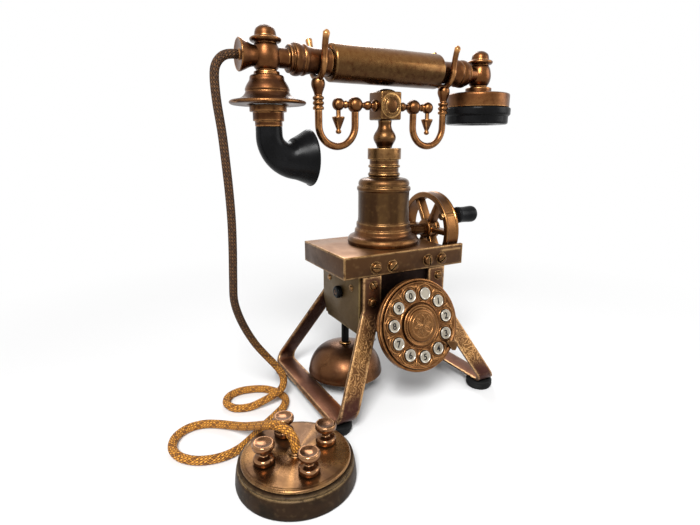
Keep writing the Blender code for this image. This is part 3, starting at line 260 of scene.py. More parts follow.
# %% [markdown]
# Old brass and bronze are never one colour. Dirt sits in the creases, hands polish the ridges, and the metal
# between them goes brown in clouds. All of the telephone's metals share this, so it is one node group,
# `aging_and_painted_shade`: it takes a base, a dark and a bright colour, looks for creases and ridges with
# pointiness and with a small bevel, and gives back a colour, a roughness and a height for the bump. The same
# group also paints shade into the colour: faces that look down are painted darker, and an ambient occlusion node
# darkens recesses and the gaps between parts, partly as dirt and partly as painted shade. Each metal then uses
# it with its own colours. An image could be painted instead, but nodes stay sharp at any distance.


# %% Building the shared aging group
def math_node(tree, kind, a, b=None):
    """A Math node with its inputs joined to sockets or set to numbers."""
    node = tree.nodes.new("ShaderNodeMath")
    node.operation = kind
    for index, value in enumerate((a, b)):
        if isinstance(value, (int, float)):
            node.inputs[index].default_value = value
        elif value is not None:
            tree.links.new(value, node.inputs[index])
    return node.outputs[0]


def mixed(tree, factor, first, second):
    """A colour between two others."""
    node = tree.nodes.new("ShaderNodeMix")
    node.data_type = "RGBA"
    for socket, value in ((node.inputs["Factor"], factor), (node.inputs[6], first), (node.inputs[7], second)):
        if isinstance(value, (int, float)):
            socket.default_value = value
        elif isinstance(value, tuple):
            socket.default_value = (*value, 1)
        else:
            tree.links.new(value, socket)
    return node.outputs[2]


def ranged(tree, value, low, high, to_low=0.0, to_high=1.0):
    """A value taken from one range to another, and held inside it."""
    node = tree.nodes.new("ShaderNodeMapRange")
    node.interpolation_type = "SMOOTHSTEP"
    tree.links.new(value, node.inputs["Value"])
    for socket, number in zip(list(node.inputs)[1:5], (low, high, to_low, to_high)):
        socket.default_value = number
    return node.outputs["Result"]


def cloud(tree, place, scale, detail=4.0, distortion=0.0):
    """Noise that follows the object's own coordinates."""
    node = tree.nodes.new("ShaderNodeTexNoise")
    tree.links.new(place, node.inputs["Vector"])
    node.inputs["Scale"].default_value = scale
    node.inputs["Detail"].default_value = detail
    node.inputs["Distortion"].default_value = distortion
    return node.outputs["Fac"]


aging_and_painted_shade = bpy.data.node_groups.new("aging_and_painted_shade", "ShaderNodeTree")
for label in ("Base", "Dark", "Bright"):
    aging_and_painted_shade.interface.new_socket(label, in_out="INPUT", socket_type="NodeSocketColor")
for label in ("Wear", "Grime and Painted Shade", "Clouds", "Turned", "Edge"):
    aging_and_painted_shade.interface.new_socket(label, in_out="INPUT", socket_type="NodeSocketFloat")
aging_and_painted_shade.interface.new_socket("Color", in_out="OUTPUT", socket_type="NodeSocketColor")
for label in ("Roughness", "Height"):
    aging_and_painted_shade.interface.new_socket(label, in_out="OUTPUT", socket_type="NodeSocketFloat")
given = aging_and_painted_shade.nodes.new("NodeGroupInput")
result = aging_and_painted_shade.nodes.new("NodeGroupOutput")
place = aging_and_painted_shade.nodes.new("ShaderNodeTexCoord").outputs["Object"]
shape = aging_and_painted_shade.nodes.new("ShaderNodeNewGeometry")
soft_corner = aging_and_painted_shade.nodes.new("ShaderNodeBevel")
soft_corner.samples = 6
aging_and_painted_shade.links.new(given.outputs["Edge"], soft_corner.inputs["Radius"])
hidden = aging_and_painted_shade.nodes.new("ShaderNodeAmbientOcclusion")
hidden.samples = 6
hidden.inputs["Distance"].default_value = 0.009
facing = aging_and_painted_shade.nodes.new("ShaderNodeVectorMath")
facing.operation = "DOT_PRODUCT"
aging_and_painted_shade.links.new(soft_corner.outputs["Normal"], facing.inputs[0])
aging_and_painted_shade.links.new(shape.outputs["True Normal"], facing.inputs[1])
edge = ranged(aging_and_painted_shade, facing.outputs["Value"], 0.99, 0.9)
broad, fine = cloud(aging_and_painted_shade, place, 34, 5, 0.6), cloud(aging_and_painted_shade, place, 260, 6)
speckle = cloud(aging_and_painted_shade, place, 1100, 2)
ridge = math_node(aging_and_painted_shade, "MULTIPLY", ranged(aging_and_painted_shade, shape.outputs["Pointiness"], 0.505, 0.56), given.outputs["Turned"])
crease = math_node(aging_and_painted_shade, "MULTIPLY", ranged(aging_and_painted_shade, shape.outputs["Pointiness"], 0.495, 0.43), given.outputs["Turned"])
patchy = ranged(aging_and_painted_shade, broad, 0.42, 0.66)
broken = ranged(aging_and_painted_shade, fine, 0.28, 0.52)
worn_edge = math_node(aging_and_painted_shade, "MULTIPLY", math_node(aging_and_painted_shade, "MAXIMUM", ridge, math_node(
    aging_and_painted_shade, "MULTIPLY", edge, math_node(aging_and_painted_shade, "SUBTRACT", 1.0, crease))), broken)
worn = math_node(aging_and_painted_shade, "MULTIPLY", worn_edge, given.outputs["Wear"])
clouded = math_node(aging_and_painted_shade, "MULTIPLY", patchy, given.outputs["Clouds"])
grimy = math_node(aging_and_painted_shade, "MULTIPLY", crease, given.outputs["Grime and Painted Shade"])
tone = mixed(aging_and_painted_shade, clouded, given.outputs["Base"], given.outputs["Dark"])
flecks = math_node(aging_and_painted_shade, "MULTIPLY", ranged(aging_and_painted_shade, fine, 0.5, 0.8), 0.08)
tone = mixed(aging_and_painted_shade, math_node(aging_and_painted_shade, "MULTIPLY", flecks, given.outputs["Wear"]), tone, given.outputs["Bright"])
tone = mixed(aging_and_painted_shade, grimy, tone, given.outputs["Dark"])
tone = mixed(aging_and_painted_shade, worn, tone, given.outputs["Bright"])
# Painted shade: faces that look down are painted darker, towards the Dark colour, as shade from above would leave them.
downward = aging_and_painted_shade.nodes.new("ShaderNodeSeparateXYZ")
aging_and_painted_shade.links.new(aging_and_painted_shade.nodes.new("ShaderNodeTexCoord").outputs["Normal"], downward.inputs[0])
painted_underside_shade = math_node(aging_and_painted_shade, "MULTIPLY", ranged(aging_and_painted_shade, downward.outputs["Z"], 0.3, -0.8), given.outputs["Grime and Painted Shade"])
tone = mixed(aging_and_painted_shade, math_node(aging_and_painted_shade, "MULTIPLY", painted_underside_shade, 0.6), tone, given.outputs["Dark"])
# Partly dirt and partly painted shade: the ambient occlusion node paints recesses and the gaps between parts darker.
recess_dirt_and_shade = math_node(aging_and_painted_shade, "MULTIPLY", ranged(aging_and_painted_shade, hidden.outputs["AO"], 0.85, 0.3), given.outputs["Grime and Painted Shade"])
tone = mixed(aging_and_painted_shade, math_node(aging_and_painted_shade, "MULTIPLY", recess_dirt_and_shade, 0.85), tone, given.outputs["Dark"])
aging_and_painted_shade.links.new(tone, result.inputs["Color"])
rough = math_node(aging_and_painted_shade, "ADD", ranged(aging_and_painted_shade, broad, 0.3, 0.7, -0.06, 0.1), ranged(aging_and_painted_shade, speckle, 0.3, 0.7, -0.03, 0.05))
rough = math_node(aging_and_painted_shade, "SUBTRACT", rough, math_node(aging_and_painted_shade, "MULTIPLY", worn, 0.08))
aging_and_painted_shade.links.new(rough, result.inputs["Roughness"])
pitted = math_node(aging_and_painted_shade, "ADD", math_node(aging_and_painted_shade, "MULTIPLY", fine, 0.6), math_node(aging_and_painted_shade, "MULTIPLY", speckle, 0.4))
aging_and_painted_shade.links.new(pitted, result.inputs["Height"])
print("aging nodes", len(aging_and_painted_shade.nodes))


# %% Making a metal from the aging group
def metal(name, base, dark, bright, wear=0.8, grime_and_painted_shade=0.9, clouds=0.6, roughness=0.3, metallic=0.96, bump=0.04,
          made="turned", edge=0.0019):
    """An aged metal, with shade painted into its colour by the shared group. Pointiness needs many small faces, so only
    turned pieces read it, and flat ones don't.
    """
    material = bpy.data.materials.new(name)
    material.use_nodes = True
    tree = material.node_tree
    shader = tree.nodes["Principled BSDF"]
    group = tree.nodes.new("ShaderNodeGroup")
    group.node_tree = aging_and_painted_shade
    group.name = "aging_and_painted_shade"
    for label, colour in (("Base", tuple(c * 0.62 for c in base)), ("Dark", dark), ("Bright", bright)):
        group.inputs[label].default_value = (*colour, 1)
    for label, number in (("Wear", wear), ("Grime and Painted Shade", grime_and_painted_shade), ("Clouds", clouds), ("Turned", float(made == "turned")), ("Edge", edge)):
        group.inputs[label].default_value = number
    tree.links.new(group.outputs["Color"], shader.inputs["Base Color"])
    tree.links.new(math_node(tree, "ADD", group.outputs["Roughness"], roughness), shader.inputs["Roughness"])
    relief = tree.nodes.new("ShaderNodeBump")
    relief.name = "relief"
    relief.inputs["Strength"].default_value = bump * 4
    relief.inputs["Distance"].default_value = 0.0002
    tree.links.new(group.outputs["Height"], relief.inputs["Height"])
    tree.links.new(relief.outputs["Normal"], shader.inputs["Normal"])
    shader.inputs["Metallic"].default_value = metallic
    shader.inputs["Specular IOR Level"].default_value = 0.07 if metallic < 0.5 else 0.5
    return material


bronze = metal("aged_bronze", (0.2, 0.073, 0.023), (0.033, 0.012, 0.005), (0.7, 0.34, 0.12), clouds=0.7)
cube_bronze = metal("cube_bronze", (0.16, 0.068, 0.022), (0.035, 0.014, 0.006), (0.62, 0.36, 0.13), made="flat")
wheel_bronze = metal("wheel_bronze", (0.29, 0.125, 0.038), (0.06, 0.023, 0.009), (0.72, 0.4, 0.15), clouds=0.4,
                     bump=0.03, made="flat", edge=0.0012)
brass = metal("olive_brass", (0.145, 0.075, 0.026), (0.04, 0.018, 0.008), (0.68, 0.38, 0.14), clouds=0.6)
grip_brass = metal("grip_brass_painted_light", (0.24, 0.11, 0.03), (0.07, 0.027, 0.009), (0.85, 0.54, 0.2), clouds=0.35,
                   roughness=0.24, bump=0.015)
gong_copper = metal("gong_copper", (0.2, 0.085, 0.034), (0.055, 0.022, 0.01), (0.55, 0.32, 0.14), clouds=0.85)
dark_sheet = metal("olive_sheet", (0.16, 0.098, 0.035), (0.08, 0.047, 0.017), (0.42, 0.3, 0.12), roughness=0.42,
                   made="flat")
iron = metal("dark_iron", (0.022, 0.011, 0.008), (0.01, 0.006, 0.005), (0.3, 0.15, 0.07), roughness=0.42, made="flat")
screw_copper = metal("screw_copper", (0.24, 0.115, 0.04), (0.03, 0.012, 0.006), (0.7, 0.42, 0.17), made="flat",
                     edge=0.0006)
pink_copper = metal("polished_copper", (0.36, 0.17, 0.08), (0.06, 0.025, 0.011), (0.75, 0.44, 0.21), clouds=0.3,
                    roughness=0.18, bump=0.02)
steel = metal("bright_steel", (0.28, 0.26, 0.23), (0.08, 0.07, 0.05), (0.6, 0.56, 0.5), roughness=0.3)
silver = metal("silver_disc", (0.56, 0.5, 0.4), (0.14, 0.1, 0.06), (0.62, 0.6, 0.54), clouds=0.5, roughness=0.4)
print("metals", [m.name for m in bpy.data.materials if "aging_and_painted_shade" in m.node_tree.nodes])

# %% [markdown]
# The horn, the earpiece and the crank's grip are ebonite, a hard black rubber that takes a deep polish and
# dulls a little where hands hold it. The feet are softer rubber. Both get their black from one colour and their
# life from uneven roughness.


# %% Black materials
def black(name, colour, low, high, bump, gloss=0.07):
    material = bpy.data.materials.new(name)
    material.use_nodes = True
    tree = material.node_tree
    shader = tree.nodes["Principled BSDF"]
    place = tree.nodes.new("ShaderNodeTexCoord").outputs["Object"]
    shader.inputs["Specular IOR Level"].default_value = gloss
    tree.links.new(mixed(tree, ranged(tree, cloud(tree, place, 60, 5), 0.35, 0.7), colour,
                         tuple(c * 2.2 for c in colour)), shader.inputs["Base Color"])
    tree.links.new(ranged(tree, cloud(tree, place, 90, 6, 0.5), 0.3, 0.7, low, high), shader.inputs["Roughness"])
    relief = tree.nodes.new("ShaderNodeBump")
    relief.inputs["Strength"].default_value = bump
    relief.inputs["Distance"].default_value = 0.0002
    tree.links.new(cloud(tree, place, 700, 3), relief.inputs["Height"])
    tree.links.new(relief.outputs["Normal"], shader.inputs["Normal"])
    return material


ebonite = black("black_ebonite", (0.003, 0.003, 0.0032), 0.2, 0.32, 0.05)
rubber = black("black_rubber", (0.006, 0.006, 0.0058), 0.45, 0.7, 0.3)
wood = metal("dark_wood", (0.034, 0.017, 0.008), (0.007, 0.005, 0.003), (0.4, 0.26, 0.12), clouds=0.9, wear=0.8,
             metallic=0.1, roughness=0.42, bump=0.12)
winding = metal("coil_winding", (0.1, 0.02, 0.012), (0.04, 0.008, 0.006), (0.3, 0.1, 0.05), metallic=0.1)
print("blacks", ebonite.name, rubber.name, wood.name)


# %% Drawing a round wire or tube along a path
def swept(bm, path, radii, segments=20, capped=True):
    """Extrude a ring along a path of points, with a radius at each. Each vertex keeps how far along it is."""
    spots = [Vector(p) for p in path]
    radii = [radii] * len(spots) if isinstance(radii, (int, float)) else radii
    along = bm.verts.layers.float.get("along") or bm.verts.layers.float.new("along")
    turn_cos = bm.verts.layers.float.get("turn_cos") or bm.verts.layers.float.new("turn_cos")
    turn_sin = bm.verts.layers.float.get("turn_sin") or bm.verts.layers.float.new("turn_sin")
    heading = (spots[1] - spots[0]).normalized()
    turning = heading.to_track_quat("Z", "Y")
    ring = bmesh.ops.create_circle(bm, cap_ends=False, radius=1, segments=segments)["verts"]
    for vert in ring:
        vert[turn_cos], vert[turn_sin] = vert.co.x, vert.co.y
    edges = list({e for v in ring for e in v.link_edges})
    made, run = list(ring), 0.0
    old = Matrix()
    for index, (spot, radius) in enumerate(zip(spots, radii)):
        if index:
            nearby = spots[min(index + 1, len(spots) - 1)] - spots[index - 1]
            turning = heading.rotation_difference(nearby.normalized()) @ turning
            heading = nearby.normalized()
            run += (spot - spots[index - 1]).length
            grown = bmesh.ops.extrude_edge_only(bm, edges=edges)["geom"]
            ring = [g for g in grown if isinstance(g, bmesh.types.BMVert)]
            edges = [g for g in grown if isinstance(g, bmesh.types.BMEdge)]
            made += ring
        new = Matrix.Translation(spot) @ turning.to_matrix().to_4x4() @ Matrix.Diagonal((radius, radius, radius, 1))
        bmesh.ops.transform(bm, matrix=new @ old.inverted(), verts=ring)
        for vert in ring:
            vert[along] = run
        old = new
    if capped:
        bmesh.ops.holes_fill(bm, edges=list({e for v in made for e in v.link_edges if e.is_boundary}))
    return made


def smooth_route(points, step):
    """Points at an even step along a Catmull-Rom curve through the given points."""
    spots = [Vector(p) for p in points]
    spots = [spots[0] * 2 - spots[1]] + spots + [spots[-1] * 2 - spots[-2]]
    fine = []
    for a, b, c, d in zip(spots, spots[1:], spots[2:], spots[3:]):
        fine += [0.5 * (2 * b + (c - a) * t + (2 * a - 5 * b + 4 * c - d) * t * t + (3 * b - a - 3 * c + d) * t ** 3)
                 for t in [k / 24 for k in range(24)]]
    fine.append(spots[-2])
    total = sum((q - p).length for p, q in zip(fine, fine[1:]))
    count = max(2, round(total / step))
    even, run, target = [fine[0]], 0.0, total / count
    for p, q in zip(fine, fine[1:]):
        span = (q - p).length
        while run + span >= target - 1e-9 and len(even) < count:
            even.append(p.lerp(q, (target - run) / span))
            target += total / count
        run += span
    return even + [fine[-1]], total


# %% [markdown]
# The cord is cotton braided over its wires: strands of gold, brown and black cross each other in two slanting
# families. The tube carries two facts at each point, how far along the cord it is and which way round, so the
# braid can be drawn by the shader: two slanting stripe counters, one for each family, and a checker that says
# which of the two lies on top. Light and shade are painted along the cord: the hanging stretch is painted darker,
# as shade, and the loops on the desk more golden, as light.

# %% Braided cloth
braid = bpy.data.materials.new("cord_cloth")
braid.use_nodes = True
tree = braid.node_tree
shader = tree.nodes["Principled BSDF"]


def carried(tree, name):
    node = tree.nodes.new("ShaderNodeAttribute")
    node.attribute_name = name
    return node.outputs["Fac"]


around = math_node(tree, "MULTIPLY", math_node(tree, "ARCTAN2", carried(tree, "turn_sin"), carried(tree, "turn_cos")),
                   10 / math.tau)
distance = carried(tree, "along")
rise = math_node(tree, "MULTIPLY", distance, 0.36)
first = math_node(tree, "ADD", around, rise)
second = math_node(tree, "SUBTRACT", around, rise)
swell_first = math_node(tree, "ABSOLUTE", math_node(tree, "SINE", math_node(tree, "MULTIPLY", first, math.pi)))
swell_second = math_node(tree, "ABSOLUTE", math_node(tree, "SINE", math_node(tree, "MULTIPLY", second, math.pi)))
strand_first = math_node(tree, "FLOORED_MODULO", math_node(tree, "FLOOR", first), 10)
strand_second = math_node(tree, "FLOORED_MODULO", math_node(tree, "FLOOR", second), 10)
parity = math_node(tree, "FLOORED_MODULO", math_node(
    tree, "ADD", math_node(tree, "FLOOR", first), math_node(tree, "FLOOR", second)), 2)
place = tree.nodes.new("ShaderNodeTexCoord").outputs["Object"]
fuzz = cloud(tree, place, 2600, 3)
# Painted light and shade along the cord: dark on the hanging stretch, golden on the loops that lie on the desk.
lit = ranged(tree, distance, 215, 330)
gold = mixed(tree, lit, (0.12, 0.055, 0.019), (0.85, 0.37, 0.055))
brown = mixed(tree, lit, (0.06, 0.028, 0.012), (0.27, 0.105, 0.024))
dark = mixed(tree, lit, (0.008, 0.005, 0.004), (0.022, 0.012, 0.007))
is_dark = math_node(tree, "LESS_THAN", math_node(tree, "FLOORED_MODULO", strand_second, 5), 0.5)
is_gold = math_node(tree, "LESS_THAN", math_node(tree, "FLOORED_MODULO", strand_first, 5), 3.5)
colour_first = mixed(tree, is_gold, brown, gold)
colour_second = mixed(tree, is_dark, mixed(tree, lit, (0.05, 0.023, 0.01), (0.5, 0.2, 0.033)), brown)
top = mixed(tree, parity, colour_first, colour_second)
swell = tree.nodes.new("ShaderNodeMix")
tree.links.new(parity, swell.inputs[0])
tree.links.new(swell_first, swell.inputs[2])
tree.links.new(swell_second, swell.inputs[3])
gap_shade = ranged(tree, swell.outputs[0], 0.15, 0.9)
top = mixed(tree, gap_shade, dark, top)
top = mixed(tree, ranged(tree, fuzz, 0.35, 0.75, 0.0, 0.25), top, brown)
tree.links.new(top, shader.inputs["Base Color"])
shader.inputs["Roughness"].default_value = 0.7
shader.inputs["Specular IOR Level"].default_value = 0.2
relief = tree.nodes.new("ShaderNodeBump")
relief.inputs["Strength"].default_value = 0.9
relief.inputs["Distance"].default_value = 0.0006
tree.links.new(math_node(tree, "ADD", swell.outputs[0], math_node(tree, "MULTIPLY", fuzz, 0.25)), relief.inputs["Height"])
tree.links.new(relief.outputs["Normal"], shader.inputs["Normal"])

# %% [markdown]
# The cord leaves the flared gland, bends down under its own weight, hangs beside the transmitter, and lies on
# the desk in two loops before it climbs over the edge of the terminal block and goes down into its ferrule. It
# is one tube along one smooth curve. Its route repeats the solid model's points.

# %% Cord
cord_points = [
    (-128.05, 0, 284.35), (-131.4, 0.1, 283.9), (-134.7, 0.2, 282.6), (-137.6, 0.3, 280.2), (-139.9, 0.4, 276.9),
    (-141.3, 0.5, 272.4), (-141.7, 0.7, 264.0), (-140.9, 0.8, 250.0), (-138.8, 1.0, 231.0), (-137.4, 1.2, 210.0),
    (-136.2, 1.6, 188.0), (-135.6, 2.2, 166.0), (-135.9, 3.2, 143.0), (-136.6, 5.0, 119.0), (-136.2, 8.2, 101.0),
    (-132.2, 12.2, 85.5), (-125.4, 16.4, 69.0), (-116.8, 20.4, 53.0), (-108.0, 22.2, 40.0), (-100.6, 20.6, 30.0),
    (-96.0, 15.6, 22.4), (-96.4, 9.6, 16.6), (-100.6, 5.4, 12.6), (-108.4, 3.6, 9.6), (-120.6, 4.0, 5.6),
    (-130.5, 5.2, 3.4), (-141.0, 9.4, 3.4), (-145.4, 20.0, 3.4), (-141.2, 30.4, 3.4), (-130.5, 35.2, 3.4),
    (-118.6, 33.4, 3.4), (-107.6, 27.4, 3.4), (-99.8, 16.6, 3.4), (-97.6, 4.0, 3.4), (-103.6, -8.0, 3.4),
    (-114.6, -17.6, 3.4), (-127.6, -27.4, 3.4), (-141.4, -38.8, 3.4), (-154.0, -47.0, 3.4), (-168.0, -49.6, 3.4),
    (-182.4, -45.6, 3.4), (-193.0, -35.6, 3.4), (-196.6, -22.4, 3.4), (-192.4, -9.4, 3.4), (-182.0, -1.8, 3.4),
    (-169.6, -1.8, 3.4), (-158.6, -8.4, 3.8), (-150.6, -18.4, 5.8), (-145.0, -30.0, 10.0), (-141.0, -42.0, 16.0),
    (-138.9, -54.0, 22.8), (-137.6, -64.0, 28.6), (-135.4, -72.4, 33.0), (-131.9, -79.0, 34.8),
    (-128.3, -84.8, 33.0), (-125.8, -88.7, 28.2), (-125.0, -90.0, 22.825),
]
cord_line, cord_run = smooth_route(cord_points, 0.9)
cord_line = [Vector((-124.8, 0, 284.35))] + cord_line + [Vector((-125, -90, 16.8))]
cord_run = sum((q - p).length for p, q in zip(cord_line, cord_line[1:]))
bm = bmesh.new()
swept(bm, cord_line, 3.25, segments=24)
bmesh.ops.recalc_face_normals(bm, faces=bm.faces)
bmesh.ops.transform(bm, matrix=home, verts=bm.verts)
cord_mesh = bpy.data.meshes.new("braided_cord")
bm.to_mesh(cord_mesh)
bm.free()
cord_mesh.materials.append(braid)
cord_mesh.shade_smooth()
cord_piece = bpy.data.objects.new("braided_cord", cord_mesh)
scene.collection.objects.link(cord_piece)
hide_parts("cord")
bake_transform(cord_piece)
print("cord length", round(cord_run), "mm, triangles", sum(len(p.vertices) - 2 for p in cord_mesh.polygons))

# %% [markdown]
# The column is three turnings on one axis: a bell-shaped housing with a heavy foot, a collar with two beads, and
# the baluster stem that carries the cradle and sinks when the handset is laid down. The outlines are the solid
# model's own, listed from the top down as shares of the largest radius and the height, and `softened` turns
# their corners into coves and beads. Soft streaks run up the barrel, and the foot and the collar are redder.

# %% Column
housing = shares([(0.52, 1), (0.6, 0.99), (0.66, 0.97), (0.695, 0.935), (0.7, 0.9), (0.68, 0.885), (0.73, 0.865),
                  (0.737, 0.842), (0.735, 0.82), (0.705, 0.8), (0.7, 0.74), (0.702, 0.4), (0.71, 0.335),
                  (0.745, 0.32), (0.75, 0.28), (0.745, 0.235), (0.79, 0.215), (0.8, 0.15), (0.86, 0.125),
                  (0.96, 0.1), (1, 0.055), (0.98, 0)], 32.15, 57.5, 136.7)
housing += [(22.5, 136.7), (19.5, 154), (19.5, 181.5), (12.8, 189.6), (9.5, 190.2), (9.5, 194.2)]
tree = brass.node_tree
spot = tree.nodes.new("ShaderNodeTexCoord").outputs["Object"]
drawn = tree.nodes.new("ShaderNodeVectorMath")
drawn.operation = "MULTIPLY"
drawn.inputs[1].default_value = (1, 1, 0.06)
tree.links.new(spot, drawn.inputs[0])
level = tree.nodes.new("ShaderNodeSeparateXYZ")
tree.links.new(spot, level.inputs[0])
streaks = ranged(tree, cloud(tree, drawn.outputs["Vector"], 62, 2), 0.4, 0.6)
tone = mixed(tree, streaks, (0.038, 0.017, 0.007), (0.105, 0.055, 0.019))
tone = mixed(tree, ranged(tree, level.outputs["Z"], 0.159, 0.15), tone, (0.13, 0.051, 0.017))
tone = mixed(tree, ranged(tree, level.outputs["Z"], 0.18, 0.186), tone, (0.1, 0.043, 0.014))
tree.links.new(tone, tree.nodes["aging_and_painted_shade"].inputs["Base"])
turned("housing_bell", "base", brass, housing, "column_housing", steps=96, ring=True, slot="brass")
collar = shares([(1, 1), (1, 0.63), (0.88, 0.61), (0.88, 0.44), (0.93, 0.43), (0.97, 0.385), (0.93, 0.34),
                 (0.88, 0.33), (0.88, 0.18), (0.93, 0.16), (0.98, 0.105), (0.93, 0.05), (0.9, 0.03), (1.03, 0)],
                14.45, 24.8, 194.5)
turned("beaded_collar", "base", brass, collar + [(6, 194.5), (6, 219.3)], "column_collar", steps=80, ring=True,
       edge=0.35, slot="brass")
stem = [(0, 242.2)] + shares([(0.6, 1), (0.575, 0.9), (0.56, 0.82), (0.64, 0.68), (0.9, 0.52), (1, 0.38), (0.92, 0.25),
                             (0.74, 0.12), (0.68, 0.07), (0.66, 0)], 9.9, 22.6, 219.6)
turned("baluster_stem", "cradle", brass, stem + [(5.2, 219.6), (5.2, 200.1), (0, 200.1)], "cradle_stem", steps=64,
       slot="brass")


# %% [markdown]
# The cradle's head is a small cube with a moulded boss on its front and back and a dome on top. Two arms of
# balls grow out of its sides. Under each middle ball hangs a U-shaped hook that ends in a turned cup and a
# two-pronged fork, and under each end ball a little pendant.


# %% A block with soft edges
def bar(bm, low, high, bevel=0.6, segments=3):
    """A box between two corners, with its edges beveled."""
    made = bmesh.ops.create_cube(bm, size=1)["verts"]
    low, high = Vector(low), Vector(high)
    bmesh.ops.scale(bm, vec=high - low, verts=made)
    bmesh.ops.translate(bm, vec=(low + high) / 2, verts=made)
    if bevel:
        edges = list({e for v in made for e in v.link_edges})
        bmesh.ops.bevel(bm, geom=edges, offset=bevel, segments=segments, affect="EDGES", profile=0.5, material=-1)


# %% Cradle head
bm = bmesh.new()
bar(bm, (-10, -10, 242.5), (10, 10, 265), 1.2)
moulding = shares([(0, 1), (0.2, 0.99), (0.42, 0.88), (0.56, 0.66), (0.63, 0.34), (0.68, 0.3), (0.7, 0.46), (0.78, 0.52),
                   (0.86, 0.46), (0.88, 0.28), (0.98, 0.24), (1, 0.1), (1, -0.5), (0, -0.5)], 9, 2.6)
for facing in (math.pi / 2, -math.pi / 2):
    side = -1 if facing > 0 else 1
    lathe(bm, softened(moulding), at(0, 10 * side, 253.75) @ Matrix.Rotation(facing, 4, "X"), steps=48)
lathe(bm, softened(shares([(0, 1), (0.3, 0.96), (0.6, 0.76), (0.86, 0.36), (0.95, 0), (0.95, -0.5), (0, -0.5)], 9, 2.6)),
      at(0, 0, 265), steps=48)
settle(bm, "head_block", "cradle", cube_bronze, "cradle_head", slot="bronze")


def ball_outline(centre, radius, neck, steps=12, first=None):
    """The outline of a ball on a neck, from its far side to its near side."""
    angle = math.asin(neck / radius)
    start = 0 if first is None else math.asin(first / radius)
    spread = [start + (math.pi - angle - start) * k / steps for k in range(steps + 1)]
    return [(radius * math.sin(a), centre + radius * math.cos(a)) for a in spread]


# %% Arms, hooks, forks and pendants
for name, side, aim in (("left", -1, to_left), ("right", 1, to_right)):
    outline = ball_outline(44.6, 5.1, 2.2) + [(2.9, 39.0), (3.3, 38.2), (2.9, 37.4)]
    outline += ball_outline(29.2, 6.4, 2.3, first=2.3) + [(2.2, 21.5)]
    outline += [(3.0, 19.6), (3.7, 18.6), (3.9, 17.4), (3.7, 16.2), (3.0, 15.2), (2.2, 14.6)]
    outline += [(2.4, 13.6), (3.2, 12.9), (3.9, 12.3), (4.9, 11.4), (4.8, 10.3), (0, 10.3)]
    turned(f"ball_arm_{name}", "cradle", bronze, outline, f"cradle_arm_{name}", place=at(0, 0, 253.75) @ aim,
           steps=40, edge=0.2, slot="bronze")
    bm = bmesh.new()
    line = [(side * 29.2, 0, 249.6)] + [(side * 29.2, 0, 249 - 11.65 * k / 6) for k in range(7)]
    line += [(side * (45.7 + 16.5 * math.cos(math.pi + math.pi * k / 28)), 0,
              237.35 + 16.5 * math.sin(math.pi + math.pi * k / 28)) for k in range(1, 29)]
    line += [(side * 62.2, 0, 237.35 + 13.7 * k / 6) for k in range(1, 7)]
    swept(bm, line, 3, segments=24)
    cup = shares([(0, 1), (0.62, 1), (0.86, 0.97), (0.98, 0.9), (1.02, 0.82), (0.97, 0.74), (0.72, 0.6), (0.6, 0.52),
                  (0.57, 0.46), (0.7, 0.44), (0.83, 0.41), (0.83, 0.36), (0.7, 0.325), (0.6, 0.31), (0.7, 0.285),
                  (0.83, 0.25), (0.83, 0.2), (0.7, 0.165), (0.6, 0.15), (0.7, 0.125), (0.83, 0.09), (0.8, 0.02),
                  (0.5, 0), (0, 0)], 5.4, 23.7, 248.55)
    lathe(bm, softened(cup), at(side * 62.2), steps=40)
    arc = [(12.2 * math.cos(math.pi + math.pi * k / 24), 12.2 * math.sin(math.pi + math.pi * k / 24)) for k in range(25)]
    rise = [(12.25, 1.6), (12.7, 5.5), (13.4, 9.8), (14.6, 14.2), (16.1, 17.6), (17.2, 18.4)]
    fork = [(-y, z) for y, z in reversed(rise)] + arc + rise
    thick = [2.6 if 6 <= k < len(fork) - 6 else 2.45 for k in range(len(fork))]
    thick[0] = thick[-1] = 1.7
    thick[1] = thick[-2] = 2.7
    swept(bm, [(side * 62.2, y, 284.35 + z) for y, z in fork], thick, segments=20)
    settle(bm, f"hook_and_fork_{name}", "cradle", bronze, f"hook_{name}", slot="bronze")
    drop = shares([(0, 1), (0.3, 1), (0.36, 0.98), (0.36, 0.7), (0.95, 0.675), (1, 0.645), (0.96, 0.6), (0.66, 0.4),
                   (0.34, 0.2), (0.3, 0.175), (0.42, 0.145), (0.46, 0.1), (0.42, 0.05), (0.25, 0.015), (0, 0)],
                  5.2, 20.2, 230.55)
    turned(f"drop_{name}", "cradle", bronze, drop, f"pendant_{name}", place=at(side * 44.6), steps=36, edge=0.3,
           slot="bronze")

# %% [markdown]
# The handset lies across the forks. Its grip is a plain tube whose colour is painted lighter on top and darker
# underneath, as painted light and shade; at each end a turned fitting, a short stem, and a ball joint with a knob
# on top. From the left ball hangs the bell that holds the transmitter, with a stepped throat and the black horn
# below it, and a flared gland lets the cord out. The right ball carries the receiver's cup and its black earpiece.

# %% Handset tube and end fittings
tree = grip_brass.node_tree
upward = tree.nodes.new("ShaderNodeSeparateXYZ")
tree.links.new(tree.nodes.new("ShaderNodeTexCoord").outputs["Normal"], upward.inputs[0])
